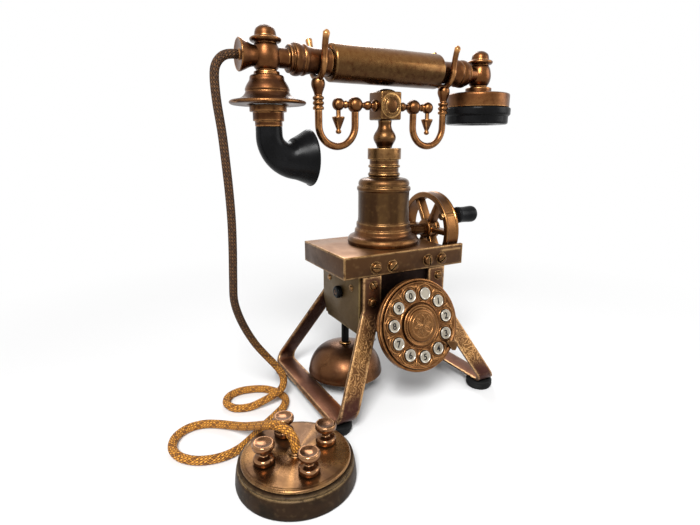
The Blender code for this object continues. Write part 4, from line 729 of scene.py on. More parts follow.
# Painted light and shade: the grip's colour is painted lighter where its faces look up and darker where they look down.
painted_light_from_above = ranged(tree, upward.outputs["Z"], -0.5, 0.6)
tree.links.new(mixed(tree, painted_light_from_above, (0.022, 0.009, 0.004), (0.165, 0.066, 0.018)), tree.nodes["aging_and_painted_shade"].inputs["Base"])
tube_outline = [(10.4, 53), (13.4, 52.8), (14.4, 51.6), (14.4, -51.6), (13.4, -52.8), (10.4, -53), (10.4, 0)]
turned("grip_tube", "handset", grip_brass, tube_outline, "handle_tube", place=at(0, 0, 284.35) @ to_right, steps=96,
       ring=True, slot="bronze")
for name, side, aim in (("left", -1, to_left), ("right", 1, to_right)):
    outline = [(0, 97.5), (7.1, 97.5), (7.1, 87.4), (8.6, 87.3), (9.9, 86.9), (10.1, 85.6), (9.5, 84.4), (9.6, 83.9),
               (11.2, 83.4), (11.8, 82), (11.8, 79.4), (11.2, 77.6), (10.7, 76.6), (11.1, 76), (11.5, 74.9), (11, 73.7),
               (10.2, 72), (9.6, 69), (9.3, 66.8), (9.3, 57.3), (9.9, 55.4), (10.4, 53.3), (0, 53.3)]
    turned(f"end_fitting_{name}", "handset", bronze, outline, f"handle_end_{name}", place=at(0, 0, 284.35) @ aim,
           steps=64, slot="bronze")
    knob = shares([(0, 1), (0.2, 0.995), (0.36, 0.965), (0.44, 0.93), (0.52, 0.905), (0.6, 0.86), (0.66, 0.78), (0.68, 0.7),
                   (0.7, 0.62), (0.9, 0.61), (1.0, 0.565), (0.99, 0.5), (0.9, 0.45), (0.7, 0.43), (0.69, 0.41),
                   (0.8, 0.31), (0.88, 0.17), (0.92, 0.02)], 11.5, 21.3)
    knob += shares([(0.92, -0.2), (0.88, -0.48), (0.79, -0.74), (0.7, -0.88), (0.66, -0.92), (0.66, -1), (0, -1)], 11.5, 9.9)
    turned(f"ball_and_knob_{name}", "handset", bronze, knob, f"ball_joint_{name}",
           place=at(side * 103.5, 0, 284.35), steps=64, slot="bronze")
gland = [(0, 124.5), (3.4, 124.5), (3.6, 124.2), (4.1, 123.4), (9.6, 124.1), (10.8, 124.4), (11.4, 123.9), (11.3, 122.8),
         (10.2, 120.4), (8.6, 117.4), (7.5, 114.6), (7.1, 111.5), (7.1, 109.6), (0, 109.6)]
turned("flared_gland", "handset", bronze, gland, "cord_gland", place=at(0, 0, 284.35) @ to_left, steps=64, edge=0.3,
       slot="bronze")

# %% Transmitter
bell = shares([(0, 1), (0.33, 1), (0.34, 0.9), (0.42, 0.885), (0.445, 0.84), (0.45, 0.77), (0.465, 0.72), (0.5, 0.66),
               (0.55, 0.56), (0.58, 0.46), (0.575, 0.42), (0.565, 0.4), (0.59, 0.33), (0.64, 0.255), (0.72, 0.19),
               (0.84, 0.155), (0.96, 0.13), (1, 0.085), (1, 0.05), (0.96, 0), (0.55, 0), (0.5, 0.38), (0.4, 0.68),
               (0, 0.78)], 28.4, 23.2, 250.95)
turned("transmitter_shell", "handset", bronze, bell, "transmitter_bell", place=at(-103.5), steps=96, slot="bronze")
throat = shares([(1, 1), (1, 0.7), (0.84, 0.69), (0.84, 0.26), (0.74, 0.25), (0.74, 0), (0.58, 0), (0.58, 1)],
                13.8, 15.2, 235.45)
turned("stepped_throat", "handset", bronze, throat, "transmitter_throat", place=at(-103.5), steps=80, ring=True,
       slot="bronze")
line = [(-103.5, 0, 235.15), (-103.5, 0, 232.2)]
line += [(-103.5 + 18 + 18 * math.cos(a), 0, 229.15 + 18 * math.sin(a))
         for a in [math.pi + math.pi / 2 * k / 20 for k in range(21)]]
line += [(-85.5 + 13.9 * s, 0, 211.15 + 0.8 * s) for s in [k / 10 for k in range(1, 11)]]
runs = [0.0]
for p, q in zip(line, line[1:]):
    runs.append(runs[-1] + (Vector(q) - Vector(p)).length)
wide = [10 + 12 * (r / runs[-1]) ** 2.3 for r in runs]
lip = [(line[-1][0] + d, 0, line[-1][2]) for d in (0.5, 0.9, 0.9, 0.3)]
inside = [(p[0], p[1], p[2]) for p in reversed(line[:-1])]
bm = bmesh.new()
swept(bm, line + lip + inside, wide + [22.1, 21.6, 20.6, 20.2] + [w - 1.7 for w in reversed(wide[:-1])],
      segments=64, capped=False)
settle(bm, "speaking_horn", "handset", ebonite, "horn", slot="ebonite", sharp=60)

# %% Receiver
cup = shares([(0, 1), (0.33, 1), (0.34, 0.97), (0.41, 0.955), (0.41, 0.71), (0.5, 0.7), (0.9, 0.685), (0.98, 0.65),
              (1, 0.58), (1, 0), (0.94, 0), (0.94, 0.58), (0, 0.6)], 29, 18.3, 255.85)
turned("receiver_shell", "handset", bronze, cup, "receiver_cup", place=at(103.5), steps=96, slot="bronze")
ear = shares([(0.93, 1), (0.99, 0.97), (1, 0.88), (1, 0.6), (0.97, 0.52), (0.94, 0.48), (0.94, 0.08), (0.9, 0),
              (0.56, 0.02), (0.4, 0.3), (0.2, 0.42), (0.2, 1)], 30.6, 15, 240.55)
turned("ear_cap", "handset", ebonite, ear, "earpiece", place=at(103.5), steps=96, ring=True, slot="ebonite")
print("handset done")

# %% [markdown]
# The stand is sheet metal. The top plate is a shallow tray turned upside down, cut back at its right end so the
# crank wheel can pass. It is drawn as one outline, raised into a slab, hollowed from below and beveled. Its top is
# matt brown and its front edge darker, scraped bright along the corners.


# %% A flat plate from an outline
def slab(bm, outline, low, high):
    """Raise an outline of (x, y) points from one height to another."""
    verts = [bm.verts.new((x, y, low)) for x, y in outline]
    under = bm.faces.new(verts)
    grown = bmesh.ops.extrude_face_region(bm, geom=[under])["geom"]
    raised = [g for g in grown if isinstance(g, bmesh.types.BMVert)]
    bmesh.ops.translate(bm, vec=(0, 0, high - low), verts=raised)
    return verts + raised


def break_edges(bm, offset, segments=3, least=30):
    """Bevel every edge that turns more than the least angle."""
    bmesh.ops.recalc_face_normals(bm, faces=bm.faces)
    edges = [e for e in bm.edges if len(e.link_faces) == 2 and e.calc_face_angle() > math.radians(least)]
    bmesh.ops.bevel(bm, geom=edges, offset=offset, segments=segments, affect="EDGES", profile=0.5, material=-1)


# %% Top plate
plate_finish = metal("top_plate_brown", (0.2, 0.088, 0.04), (0.1, 0.045, 0.023), (0.66, 0.4, 0.17), clouds=0.45,
                     roughness=0.4, metallic=0.92, made="flat", edge=0.0026)
tree = plate_finish.node_tree
group, shader = tree.nodes["aging_and_painted_shade"], tree.nodes["Principled BSDF"]
facing_up = tree.nodes.new("ShaderNodeSeparateXYZ")
tree.links.new(tree.nodes.new("ShaderNodeNewGeometry").outputs["Normal"], facing_up.inputs[0])
sides = ranged(tree, math_node(tree, "ABSOLUTE", facing_up.outputs["Z"]), 0.6, 0.3)
tree.links.new(mixed(tree, sides, (0.19, 0.085, 0.027), (0.075, 0.034, 0.013)), group.inputs["Base"])
tree.links.new(mixed(tree, sides, (0.12, 0.052, 0.023), (0.026, 0.013, 0.008)), group.inputs["Dark"])
bm = bmesh.new()
slab(bm, [(-60.5, -39), (60.5, -39), (60.5, -35.4), (40, -35.4), (40, 39), (-60.5, 39)], 118, 136.4)
bmesh.ops.recalc_face_normals(bm, faces=bm.faces)
under = min(bm.faces, key=lambda f: f.calc_center_median().z)
bmesh.ops.inset_region(bm, faces=[under], thickness=3.6)
lifted = bmesh.ops.extrude_face_region(bm, geom=[under])["geom"]
bmesh.ops.translate(bm, vec=(0, 0, 14.4), verts=[g for g in lifted if isinstance(g, bmesh.types.BMVert)])
bmesh.ops.delete(bm, geom=[under], context="FACES")
break_edges(bm, 0.7)
settle(bm, "stand_top", "base", plate_finish, "top_plate", slot="sheet", sharp=50)

# %% [markdown]
# Under the plate, two side plates close a narrow box. The left one shows most: dark olive metal with cut lower
# corners, two small brass rivets and the black bush of the magneto's shaft.

# %% Side plates and panels
outline_left = [(-34.2, 71), (-29.7, 66.5), (25.2, 66.5), (34.2, 83), (34.2, 132.1), (-34.2, 132.1)]
outline_right = outline_left[:4] + [(34.2, 117.7), (-34.2, 117.7)]
upright = Matrix(((0, 0, 1, 0), (1, 0, 0, 0), (0, 1, 0, 0), (0, 0, 0, 1)))
for name, outline, low in (("left", outline_left, -44.0), ("right", outline_right, 36.4)):
    bm = bmesh.new()
    slab(bm, outline, low, low + 1.9)
    break_edges(bm, 0.45)
    settle(bm, f"cheek_{name}", "base", dark_sheet, f"side_plate_{name}", place=upright, slot="sheet", sharp=50)
for name, y_low in (("front", -34.2), ("back", 32.2)):
    bm = bmesh.new()
    bar(bm, (-41.8, y_low, 66.5), (36.1, y_low + 2, 132.1), 0.3)
    settle(bm, f"inner_panel_{name}", "base", iron, f"{name}_panel", slot="iron")
bush = [(2.4, 4.6), (4.6, 4.5), (5.5, 3.6), (5.6, 0.1), (2.5, 0.1)]
turned("shaft_bush", "base", ebonite, bush, "armature_bush", place=at(-44.3, 0, 96) @ to_left, steps=48, ring=True,
       edge=0.8, slot="ebonite")

# %% [markdown]
# The legs are two loops of flat strap. Each goes down the front of the box, leans out, runs back along the
# floor and comes up behind. A ribbon is drawn first along the loop's outer line, given its thickness with
# solidify, its edges are beveled, and then everything below the knee is pushed sideways, which gives the splay.


# %% Rounding the path of a strap
def rounded_path(corners, radii, steps=8):
    """The corners' path with an arc of its own radius at each inner corner."""
    spots = [Vector(c) for c in corners]
    path = [spots[0]]
    for before, spot, after, radius in zip(spots, spots[1:], spots[2:], radii):
        back, on = (before - spot).normalized(), (after - spot).normalized()
        half = back.angle(on) / 2
        middle = spot + (back + on).normalized() * radius / math.sin(half)
        first = spot + back * radius / math.tan(half) - middle
        last = spot + on * radius / math.tan(half) - middle
        sweep = first.angle_signed(last)
        path += [middle + Matrix.Rotation(-sweep * k / steps, 2) @ first for k in range(steps + 1)]
    return path + [spots[-1]]


# %% Strap metal, engraved in front
strap_metal = metal("engraved_strap", (0.2, 0.09, 0.04), (0.05, 0.018, 0.013), (0.7, 0.42, 0.19), clouds=0.4,
                    roughness=0.4, made="flat", edge=0.003)
tree = strap_metal.node_tree
group, shader, relief = tree.nodes["aging_and_painted_shade"], tree.nodes["Principled BSDF"], tree.nodes["relief"]
here = tree.nodes.new("ShaderNodeTexCoord").outputs["Object"]
spot = tree.nodes.new("ShaderNodeSeparateXYZ")
tree.links.new(here, spot.inputs[0])
normal = tree.nodes.new("ShaderNodeSeparateXYZ")
tree.links.new(tree.nodes.new("ShaderNodeNewGeometry").outputs["Normal"], normal.inputs[0])
front = ranged(tree, normal.outputs["Y"], -0.5, -0.75)
tall = math_node(tree, "MULTIPLY", ranged(tree, spot.outputs["Z"], 0.022, 0.036), ranged(
    tree, spot.outputs["Z"], 0.088, 0.078))
engraved = math_node(tree, "MULTIPLY", front, tall)
wobble = tree.nodes.new("ShaderNodeTexNoise")
wobble.inputs["Scale"].default_value = 90
tree.links.new(here, wobble.inputs["Vector"])
bent = tree.nodes.new("ShaderNodeMix")
bent.data_type = "VECTOR"
bent.inputs["Factor"].default_value = 0.012
tree.links.new(here, bent.inputs[4])
tree.links.new(wobble.outputs["Color"], bent.inputs[5])
cells = tree.nodes.new("ShaderNodeTexVoronoi")
cells.inputs["Scale"].default_value = 185
tree.links.new(bent.outputs[1], cells.inputs["Vector"])
curl = math_node(tree, "SINE", math_node(tree, "MULTIPLY", cells.outputs["Distance"], 22))
groove = math_node(tree, "MULTIPLY", ranged(tree, curl, 0.05, 0.75), engraved)
low_end = math_node(tree, "MULTIPLY", math_node(tree, "MAXIMUM", front, ranged(tree, normal.outputs["Y"], -0.3, -0.5)),
                    ranged(tree, spot.outputs["Z"], 0.036, 0.02))
under = ranged(tree, spot.outputs["Z"], 0.0135, 0.0128)
floor_bar = math_node(tree, "MULTIPLY", ranged(tree, spot.outputs["Z"], 0.016, 0.0125), ranged(
    tree, normal.outputs["Z"], 0.6, 0.9))
behind = ranged(tree, spot.outputs["Y"], 0.02, 0.034)
tone = mixed(tree, engraved, (0.075, 0.033, 0.016), (0.16, 0.075, 0.026))
tone = mixed(tree, groove, tone, (0.5, 0.27, 0.1))
tone = mixed(tree, low_end, tone, (0.055, 0.02, 0.015))
tone = mixed(tree, behind, tone, (0.05, 0.022, 0.014))
tone = mixed(tree, floor_bar, tone, (0.165, 0.065, 0.033))
tree.links.new(tone, group.inputs["Base"])
height = math_node(tree, "ADD", group.outputs["Height"], math_node(tree, "MULTIPLY", groove, 1.5))
tree.links.new(height, relief.inputs["Height"])
relief.inputs["Distance"].default_value = 0.0003
relief.inputs["Strength"].default_value = 0.55

# %% Leg loops and feet
loop_corners = [(-37.5, 117.7), (-37.5, 89), (-71.5, 8.3), (71.5, 8.3), (37.5, 89), (37.5, 117.7)]
loop_path = rounded_path(loop_corners, [12, 8.5, 8.5, 12])
for name, side in (("left", -1), ("right", 1)):
    bm = bmesh.new()
    verts = [bm.verts.new((side * 33.15 - 8.65, y, z)) for y, z in loop_path]
    edges = [bm.edges.new(pair) for pair in zip(verts, verts[1:])]
    ribbon = bmesh.ops.extrude_edge_only(bm, edges=edges)["geom"]
    bmesh.ops.translate(bm, vec=(17.3, 0, 0), verts=[g for g in ribbon if isinstance(g, bmesh.types.BMVert)])
    bmesh.ops.recalc_face_normals(bm, faces=bm.faces)
    bottom = min(bm.faces, key=lambda f: f.calc_center_median().z)
    if bottom.normal.z > 0:
        bmesh.ops.reverse_faces(bm, faces=bm.faces)
    bmesh.ops.solidify(bm, geom=list(bm.faces), thickness=3)
    break_edges(bm, 0.5, 2, 50)
    for vert in bm.verts:
        below = max(0.0, (89 - vert.co.z) / (89 - 8.3))
        vert.co.x += side * 42.5 * min(1.0, below)
    loop = settle(bm, f"strap_loop_{name}", "base", strap_metal, f"leg_loop_{name}", slot="copper", sharp=50)
    print(loop.name, [[round(v * 1000, 2) for v in c] for c in (
        [min(v.co[i] for v in loop.data.vertices) for i in range(3)],
        [max(v.co[i] for v in loop.data.vertices) for i in range(3)])])
    for end, y in (("front", -55.5), ("back", 55.5)):
        foot = [(0, 8), (10.4, 8), (11.6, 7.2), (11.8, 6.2), (11.6, 5.4), (11.2, 5.1), (11.6, 4.8), (11.8, 4), (11.7, 2.6),
                (10.6, 0.3), (9.6, 0), (0, 0)]
        turned(f"rubber_foot_{end}_{name}", "base", rubber, foot, f"foot_{end}_{name}", place=at(side * 75.65, y),
               steps=56, slot="rubber")

# %% [markdown]
# The dial stands at the front and leans back by about fifteen degrees, so it is built lying flat, with its axis
# along Z, and one matrix stands it up. Its case is stepped like a picture frame. The finger wheel carries a
# relief of arches that run round the outer side of each number and meet in small leaves. The arches are thin
# wires half sunk in the face, which is how such a relief looks once it is cast.

# %% Dial case and wheel
dial_place = at(0, -61.4, 77.2) @ Matrix.Rotation(math.radians(90 - 14.9), 4, "X")
case = [(36.7, -1.9), (37.2, -1.5), (38.5, -1.5), (39, -2.2), (39, -4.2), (38.5, -4.8), (39, -5.4), (39, -7.2), (38, -7.9),
        (36.4, -8.5), (36.1, -9.8), (36.4, -11.2), (36.2, -12.1), (34.6, -12.7), (33.4, -13.2), (33.2, -14.7),
        (3.2, -14.7), (3.2, -12.9), (31.4, -12.9), (34.4, -5.9), (36.7, -5.9)]
turned("stepped_case", "base", bronze, case, "dial_case", place=dial_place, steps=112, ring=True, slot="bronze")
dial_bronze = metal("dial_bronze", (0.16, 0.06, 0.019), (0.03, 0.012, 0.006), (0.5, 0.24, 0.085), clouds=0.4,
                    wear=0.6, roughness=0.32)
cap_bronze = metal("cap_bronze", (0.25, 0.108, 0.036), (0.07, 0.028, 0.011), (0.5, 0.26, 0.1), wear=0.5, clouds=0.3,
                   bump=0.02, made="flat")
phase, ring_step = math.radians(16.46), math.tau / 11
numbers = [(26.5 * math.sin(phase + k * ring_step), 26.5 * math.cos(phase + k * ring_step)) for k in range(11)]
bm = bmesh.new()
face = [(0, -3), (0, -1.2), (18.4, -1.2), (18.8, -0.75), (19.4, -0.55), (20, -0.75), (20.5, -1.25), (32.5, -1.3), (34.3, -1.05),
        (34.9, -0.8), (35.3, -0.2), (35.9, 0), (36.4, -0.5), (36.4, -3)]
lathe(bm, softened(face[1:] + [(0, -3)]), steps=112)
for k, (x, y) in enumerate(numbers):
    collar = [(5.45, -1.4), (5.5, -0.6), (5.9, -0.35), (6.5, -0.6), (6.9, -1.4)]
    lathe(bm, softened(collar), at(x, y), steps=32, ring=True)
    outward = phase + k * ring_step
    arch = [(x + 8.1 * math.sin(outward + a), y + 8.1 * math.cos(outward + a), -1.0)
            for a in [math.radians(-67 + 134 * s / 16) for s in range(17)]]
    swept(bm, arch, [0.35] + [0.62] * 15 + [0.35], segments=10)
    half_way = outward + ring_step / 2
    leaf = [(r * math.sin(half_way), r * math.cos(half_way), -1.0) for r in (26.6, 28.2, 30.2, 32, 33.6)]
    swept(bm, leaf, [0.2, 0.5, 0.85, 1.15, 0.3], segments=10)
    for lean in (-1, 1):
        curl = [((29.6 + 3.2 * s) * math.sin(half_way + lean * 0.03 * s ** 2 * 2), (29.6 + 3.2 * s) * math.cos(
            half_way + lean * 0.03 * s ** 2 * 2), -1.0) for s in (0, 0.4, 0.8, 1.1, 1.3)]
        swept(bm, curl, [0.4, 0.55, 0.5, 0.4, 0.2], segments=8)
settle(bm, "relief_wheel", "dial", dial_bronze, "finger_wheel", place=dial_place, slot="bronze")

# %% [markdown]
# The numbers stand on small silvered discs, from a blank one just right of the top, then one to nine and nought
# clockwise. A digit is a text object turned into a mesh with a little thickness, so it can ride on the wheel
# and be exported like any other piece.


# %% Number discs
def lettered(bm, text, size, place):
    """Put the mesh of a short text, centred, into bm."""
    curve = bpy.data.curves.new("digit", "FONT")
    curve.body, curve.size, curve.extrude, curve.offset = text, size, 0.07, 0.17
    curve.align_x, curve.align_y = "CENTER", "CENTER"
    writer = bpy.data.objects.new("digit", curve)
    bpy.context.scene.collection.objects.link(writer)
    bpy.context.view_layer.update()
    mesh = bpy.data.meshes.new_from_object(writer.evaluated_get(bpy.context.evaluated_depsgraph_get()))
    xs, ys = [v.co.x for v in mesh.vertices], [v.co.y for v in mesh.vertices]
    middle = Matrix.Translation((-(min(xs) + max(xs)) / 2, -(min(ys) + max(ys)) / 2, 0))
    mesh.transform(place @ middle)
    bm.from_mesh(mesh)
    bpy.data.objects.remove(writer)
    bpy.data.meshes.remove(mesh)


bm = bmesh.new()
disc = [(0, 0.5), (3.9, 0.5), (4.3, 0.6), (4.6, 0.85), (4.95, 0.75), (5.15, 0.3), (5.2, -1.5), (0, -1.5)]
for x, y in numbers:
    lathe(bm, softened(disc), at(x, y), steps=40)
settle(bm, "number_discs", "dial", silver, "number_ring", place=dial_place, slot="silver")
ink = black("number_ink", (0.008, 0.007, 0.007), 0.4, 0.6, 0.1)
bm = bmesh.new()
for text, (x, y) in zip("1234567890", numbers[1:]):
    lettered(bm, text, 8.6, at(x, y, 0.58) @ Matrix.Diagonal((0.86, 0.86, 1, 1)))
settle(bm, "digits", "dial", ink, place=dial_place, slot="ebonite")
print("numbers", len(numbers))

# %% [markdown]
# The cap closes the middle of the dial: a raised disc with a plain rosette of eight petals and a ring round it.

# %% Dial cap with a rosette
cap_outline = shares([(0, 0.9), (0.38, 0.9), (0.6, 0.93), (0.7, 0.92), (0.76, 0.78), (0.79, 0.5), (0.8, 0.26), (0.84, 0.2),
                      (0.88, 0.24), (0.91, 0.36), (0.955, 0.4), (0.985, 0.3), (1, 0)], 17.5, 3.1, -0.5)
bm = bmesh.new()
lathe(bm, softened(cap_outline + [(2.9, -0.5), (2.9, -14.4), (0, -14.4)]), steps=96)
crest = 2.3
for k in range(8):
    aim = math.tau * k / 8
    for lean in (-1, 1):
        petal = [(r * math.sin(aim + lean * a), r * math.cos(aim + lean * a), crest)
                 for r, a in ((1.6, 0), (3.2, 0.26), (5, 0.33), (6.8, 0.24), (8.1, 0.1), (8.9, 0))]
        swept(bm, petal, [0.22, 0.42, 0.5, 0.5, 0.42, 0.22], segments=8)
    vein = [(r * math.sin(aim), r * math.cos(aim), crest) for r in (2.4, 3.6, 5, 6.2)]
    swept(bm, vein, [0.2, 0.4, 0.34, 0.15], segments=8)
lathe(bm, softened([(0, crest + 0.7), (0.9, crest + 0.6), (1.6, crest), (0, crest)]), steps=24)
lathe(bm, softened([(9.7, crest), (10, crest + 0.35), (10.4, crest + 0.35), (10.7, crest)]), steps=72, ring=True)
settle(bm, "rosette_cap", "dial", cap_bronze, "dial_cap", place=dial_place, slot="bronze")
stop_turn = Matrix.Rotation(math.radians(90 - 128), 4, "Z")
bm = bmesh.new()
slab(bm, [(36.7, -4.25), (39.7, -3), (39.7, 3), (36.7, 4.25), (28.2, 0.85), (28.2, -0.85)], 2.5, 3.9)
break_edges(bm, 0.35)
bar(bm, (37, -2.55, -1.2), (38.7, 2.55, 3.2), 0.3)
settle(bm, "pointed_stop", "base", screw_copper, "finger_stop", place=dial_place @ stop_turn, slot="copper")

# %% [markdown]
# Slotted screws hold the straps and the front edge. A screw head is turned, and its slot is what stays open
# when the head is cut into two halves by planes on either side of its middle.


# %% Slotted screws
def screw(bm, place, radius, height, angle):
    """A domed, slotted screw head that stands on its place's XY plane."""
    head = softened([(0, height), (radius * 0.5, height * 0.97), (radius * 0.86, height * 0.84), (radius, height * 0.55),
                     (radius, 0.2), (radius * 1.02, -0.2), (0, -0.2)], 0.3)
    for side in (-1, 1):
        half = bmesh.new()
        lathe(half, head, steps=40)
        bmesh.ops.remove_doubles(half, verts=half.verts, dist=0.002)
        bmesh.ops.bisect_plane(half, geom=half.verts[:] + half.edges[:] + half.faces[:],
                               plane_co=(side * radius * 0.16, 0, 0), plane_no=(side, 0, 0), clear_inner=True)
        bmesh.ops.holes_fill(half, edges=[e for e in half.edges if e.is_boundary])
        bmesh.ops.transform(half, matrix=place @ Matrix.Rotation(angle, 4, "Z"), verts=half.verts)
        cut_mesh = bpy.data.meshes.new("half_head")
        half.to_mesh(cut_mesh)
        half.free()
        bm.from_mesh(cut_mesh)
        bpy.data.meshes.remove(cut_mesh)
    lathe(bm, [(0, height * 0.25), (radius * 0.97, height * 0.25), (radius * 0.97, -0.2), (0, -0.2)], place, steps=32)
    lathe(bm, softened([(radius * 1.22, -0.2), (radius * 1.2, 0.35), (radius * 0.9, 0.4), (radius * 0.9, -0.2)], 0.1),
          place, steps=40, ring=True)


to_front = Matrix.Rotation(math.pi / 2, 4, "X")
bm = bmesh.new()
for x, z, angle in ((-31.1, 125.3, 1.4), (-15, 124.7, -0.85), (21.5, 125.5, 0.1), (36.3, 125.4, -0.9)):
    screw(bm, at(x, -39, z) @ to_front, 4.4, 3.7, angle)
for x, z, angle in ((-32.1, 109.8, 0.5), (-33.1, 95.3, -0.9), (34.7, 110, 1.3), (33.4, 95.5, 0.4)):
    screw(bm, at(x, -37.5, z) @ to_front, 3.6, 3.0, angle)
settle(bm, "front_screws", "base", screw_copper, slot="copper")
bm = bmesh.new()
for x, z, angle in ((-33, 109.8, 0.9), (-33, 95.3, 0.2), (33, 110, -0.7), (33, 95.5, 1.1)):
    screw(bm, at(x, 37.5, z) @ Matrix.Rotation(-math.pi / 2, 4, "X"), 3.5, 2.6, angle)
for y, z, angle in ((20.8, 104.1, 0.3), (-20.7, 104.8, 1.2)):
    screw(bm, at(-44, y, z) @ to_left, 2.4, 1.5, angle)
settle(bm, "back_and_side_screws", "base", brass, slot="brass")

# %% [markdown]
# Behind the column stands the crank wheel of the magneto. Its rim is a broad band with a bead along each edge,
# joined to the hub by six flat spokes. The black grip turns freely on a pin near the rim. Below it a rubber roller
# runs on the armature's shaft.

# %% Crank wheel, grip and roller
wheel_place = at(45.3, 0, 144.6) @ to_right
bm = bmesh.new()
rim = [(29.7, 0.4), (30.2, 0), (34.3, 0), (34.9, 0.6), (34.9, 1.7), (34.4, 2.3), (34.2, 3), (34.2, 10.7), (34.4, 11.4),
       (34.9, 12), (34.9, 13.1), (34.3, 13.7), (30.2, 13.7), (29.7, 13.3)]
lathe(bm, softened(rim, closed=True), steps=112, ring=True)
hub = [(3.3, 0), (8.2, 0), (9.2, 0.9), (9.2, 4.2), (8.4, 5), (8.4, 8.7), (9.2, 9.5), (9.2, 12.8), (8.2, 13.7), (3.3, 13.7)]
lathe(bm, softened(hub, closed=True), steps=64, ring=True)
for k in range(6):
    arm = bmesh.new()
    bar(arm, (-2.4, 8.0, 2.4), (2.4, 30.4, 11.3), 0.9)
    bmesh.ops.transform(arm, matrix=Matrix.Rotation(math.tau * k / 6, 4, "Z"), verts=arm.verts)
    arm_mesh = bpy.data.meshes.new("spoke")
    arm.to_mesh(arm_mesh)
    arm.free()
    bm.from_mesh(arm_mesh)
    bpy.data.meshes.remove(arm_mesh)
pin_spot = at(-15.55, -26.93)
lathe(bm, softened([(2.2, 0), (3.6, 0), (3.6, 14.7), (3.2, 15.2), (2.2, 15.2)], 0.3, closed=True), pin_spot, steps=32,
      ring=True)
settle(bm, "spoked_wheel", "crank", wheel_bronze, "crank_wheel", place=wheel_place, slot="copper")
shaft = [(0, 16.7), (3.6, 16.7), (4.5, 16.1), (5.0, 14.4), (4.9, 13.9), (3, 13.9), (3, -24.3), (0, -24.3)]
turned("shaft_and_nut", "crank", screw_copper, shaft, "crank_shaft", place=wheel_place, steps=48, slot="steel")
grip = [(0, 36.3), (4.6, 36.3), (6.4, 35.7), (7.3, 34.3), (7.5, 32.4), (7.2, 27.5), (7.0, 23.5), (7.2, 19.4), (7.5, 17.4),
        (7.3, 16.1), (6.2, 15.5), (2.3, 15.5), (2.3, 34.3), (0, 34.3)]
turned("crank_grip", "grip", ebonite, grip, "handle_grip", place=wheel_place @ pin_spot, steps=64, edge=0.6,
       slot="ebonite")
roller = [(3, 0.4), (12.2, 0), (13.4, 1), (13.4, 5.6), (12.9, 6.1), (12.9, 7.3), (13.4, 7.8), (13.4, 12.4), (12.2, 13.4), (3, 13)]
turned("rubber_roller", "armature", rubber, roller, "friction_roller", place=at(45.3, 0, 96) @ to_right, steps=72,
       ring=True, slot="rubber")

# %% [markdown]
# The bell is one gong under the left cheek, hung on a black post from the coils' yoke, with a clapper between it
# and the dial. The gong is thin: its outline goes down the outside and comes back up the inside.

# %% Gong, post and clapper
outside = shares([(0.07, 1), (0.16, 0.998), (0.28, 0.982), (0.4, 0.95), (0.52, 0.9), (0.63, 0.84), (0.73, 0.755), (0.82, 0.64),
                  (0.89, 0.51), (0.94, 0.37), (0.972, 0.24), (0.985, 0.12), (1, 0.06), (1, 0)], 34.7, 27.8, 13.6)
inside = [(r - 1.8, z - 1.6) for r, z in reversed(outside[1:-2])]
turned("gong_bowl", "base", gong_copper, outside + [(32.9, 13.6)] + inside + [(2.43, 39.6)], "gong",
       place=at(-33.7, 10), steps=112, ring=True, slot="copper")
post = [(0, 70.2), (3.5, 70.2), (3.5, 43.2), (2, 43.2), (2, 34.5), (0, 34.5)]
turned("gong_stem", "base", ebonite, post, "gong_post", place=at(-33.7, 10), steps=40, slot="ebonite")
washer = [(2.1, 41.7), (5.4, 41.7), (5.8, 42), (5.5, 42.6), (4.4, 43.1), (2.1, 43.1)]
turned("gong_washer", "base", brass, washer, place=at(-33.7, 10), steps=48, ring=True, edge=0.25, slot="brass")
bm = bmesh.new()
swept(bm, [(-2, 10, 70.2 - 31.5 * k / 8) for k in range(9)], 1, segments=16)
hammer = [(0, 6), (1.1, 5.8), (1.8, 4.9), (2, 3.6), (2, 1), (1.5, 0), (1.3, -1.2), (0.9, -2), (0, -2)]
lathe(bm, softened(hammer), at(-2, 10, 37.5) @ to_left, steps=32)
settle(bm, "clapper_rod", "clapper", steel, "clapper", slot="steel")

# %% [markdown]
# The terminal block is a turned wooden foot with a groove near its top and a metal disc let into it. The disc was
# brushed on the lathe, so its finish is rings, and its colour is painted in paler and darker wedges, a painted sheen
# such as light makes on brushed metal. Four thumb nuts with dished, polished tops stand round the ferrule that
# the cord goes into.

# %% Terminal block
block_place = at(-125, -90)
base = shares([(0, 1), (0.9, 1), (0.935, 0.985), (0.955, 0.94), (0.955, 0.87), (0.938, 0.845), (0.938, 0.82), (0.96, 0.795),
               (0.975, 0.7), (0.992, 0.4), (1, 0.14), (0.995, 0.05), (0.98, 0), (0, 0)], 41.5, 16.5)
turned("wooden_foot", "base", wood, base, "terminal_base", place=block_place, steps=112, slot="wood")
brushed = metal("brushed_disc", (0.15, 0.075, 0.032), (0.06, 0.028, 0.014), (0.6, 0.36, 0.16), clouds=0.25,
                roughness=0.3, metallic=0.92)
tree = brushed.node_tree
group, relief = tree.nodes["aging_and_painted_shade"], tree.nodes["relief"]
centred = tree.nodes.new("ShaderNodeMapping")
middle = home @ Vector((-125, -90, 0))
centred.inputs["Location"].default_value = (-middle.x, -middle.y, 0)
tree.links.new(tree.nodes.new("ShaderNodeTexCoord").outputs["Object"], centred.inputs["Vector"])
flat_place = tree.nodes.new("ShaderNodeVectorMath")
flat_place.operation = "MULTIPLY"
flat_place.inputs[1].default_value = (1, 1, 0)
tree.links.new(centred.outputs["Vector"], flat_place.inputs[0])
reach = tree.nodes.new("ShaderNodeVectorMath")
reach.operation = "LENGTH"
tree.links.new(flat_place.outputs["Vector"], reach.inputs[0])
aim = tree.nodes.new("ShaderNodeVectorMath")
aim.operation = "NORMALIZE"
tree.links.new(flat_place.outputs["Vector"], aim.inputs[0])
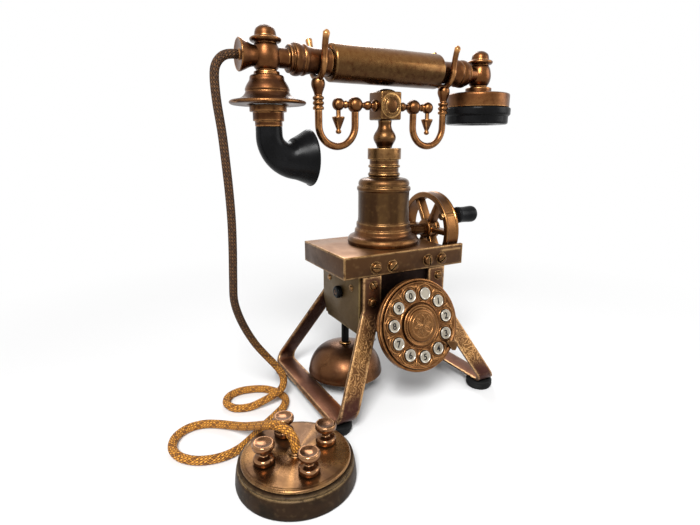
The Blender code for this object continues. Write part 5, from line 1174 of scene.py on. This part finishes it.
# Painted sheen: slow noise round the disc's middle paints paler and darker wedges into its colour.
painted_sheen_wedges = ranged(tree, cloud(tree, aim.outputs["Vector"], 1.6, 3), 0.38, 0.62)
tree.links.new(mixed(tree, painted_sheen_wedges, (0.1, 0.047, 0.019), (0.3, 0.15, 0.053)), group.inputs["Base"])
turnings = tree.nodes.new("ShaderNodeTexNoise")
turnings.noise_dimensions = "1D"
turnings.inputs["Scale"].default_value = 3200
turnings.inputs["Detail"].default_value = 3
tree.links.new(reach.outputs["Value"], turnings.inputs["W"])
tree.links.new(turnings.outputs["Fac"], relief.inputs["Height"])
relief.inputs["Distance"].default_value = 0.0001
bm = bmesh.new()
plate_ring = [(3.6, 21.2), (4.9, 21.2), (5.7, 20.7), (5.8, 19.4), (6.2, 19), (34.6, 19), (35.2, 18.8), (36.1, 18.8), (36.8, 18.6),
              (37.4, 17.8), (37.5, 16.8), (3.6, 16.8)]
lathe(bm, softened(plate_ring, 0.35, closed=True), steps=112, ring=True)
for x, y in ((22.6, 0), (0, 22.6), (-22.6, 0), (0, -22.6)):
    lathe(bm, softened([(0, 26), (1.4, 26), (1.7, 25.6), (1.7, 18.5), (0, 18.5)], 0.2), at(x, y), steps=24)
settle(bm, "brushed_plate", "base", brushed, "terminal_disc", place=block_place, slot="copper")
for index, (x, y) in enumerate(((22.6, 0), (0, 22.6), (-22.6, 0), (0, -22.6))):
    nut = shares([(0, 0.915), (0.35, 0.925), (0.6, 0.955), (0.8, 0.985), (0.92, 0.97), (1, 0.88), (1.0, 0.8), (0.95, 0.72),
                  (0.8, 0.64), (0.55, 0.58), (0.4, 0.54), (0.36, 0.46), (0.38, 0.38), (0.6, 0.34), (0.82, 0.31), (0.93, 0.25),
                  (0.95, 0.14), (0.94, 0.05), (0.88, 0)], 7.5, 15.5, 19.3)
    turned(f"dished_nut_{index + 1}", f"nut_{index + 1}", pink_copper, nut + [(2.1, 19.3), (2.1, 26.7), (0, 26.7)],
           f"thumb_nut_{index + 1}", place=block_place @ at(x, y), steps=64, slot="bronze")

# %% [markdown]
# A few parts of the solid model are already the right shape, because they are plain inside parts: the bracket,
# the armature, the coils, the spring, the capsule and the magnet. They stay, and only get their finish.

# %% Finishes of the parts that stay
for name, finish in (("dial_bracket", iron), ("crank_bush", cube_bronze), ("armature", iron), ("ringer_coils", winding),
                     ("hook_spring", steel), ("transmitter_capsule", steel), ("receiver_magnet", steel),
                     ("handle_pin", screw_copper)):
    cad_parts[name].data.materials.clear()
    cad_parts[name].data.materials.append(finish)
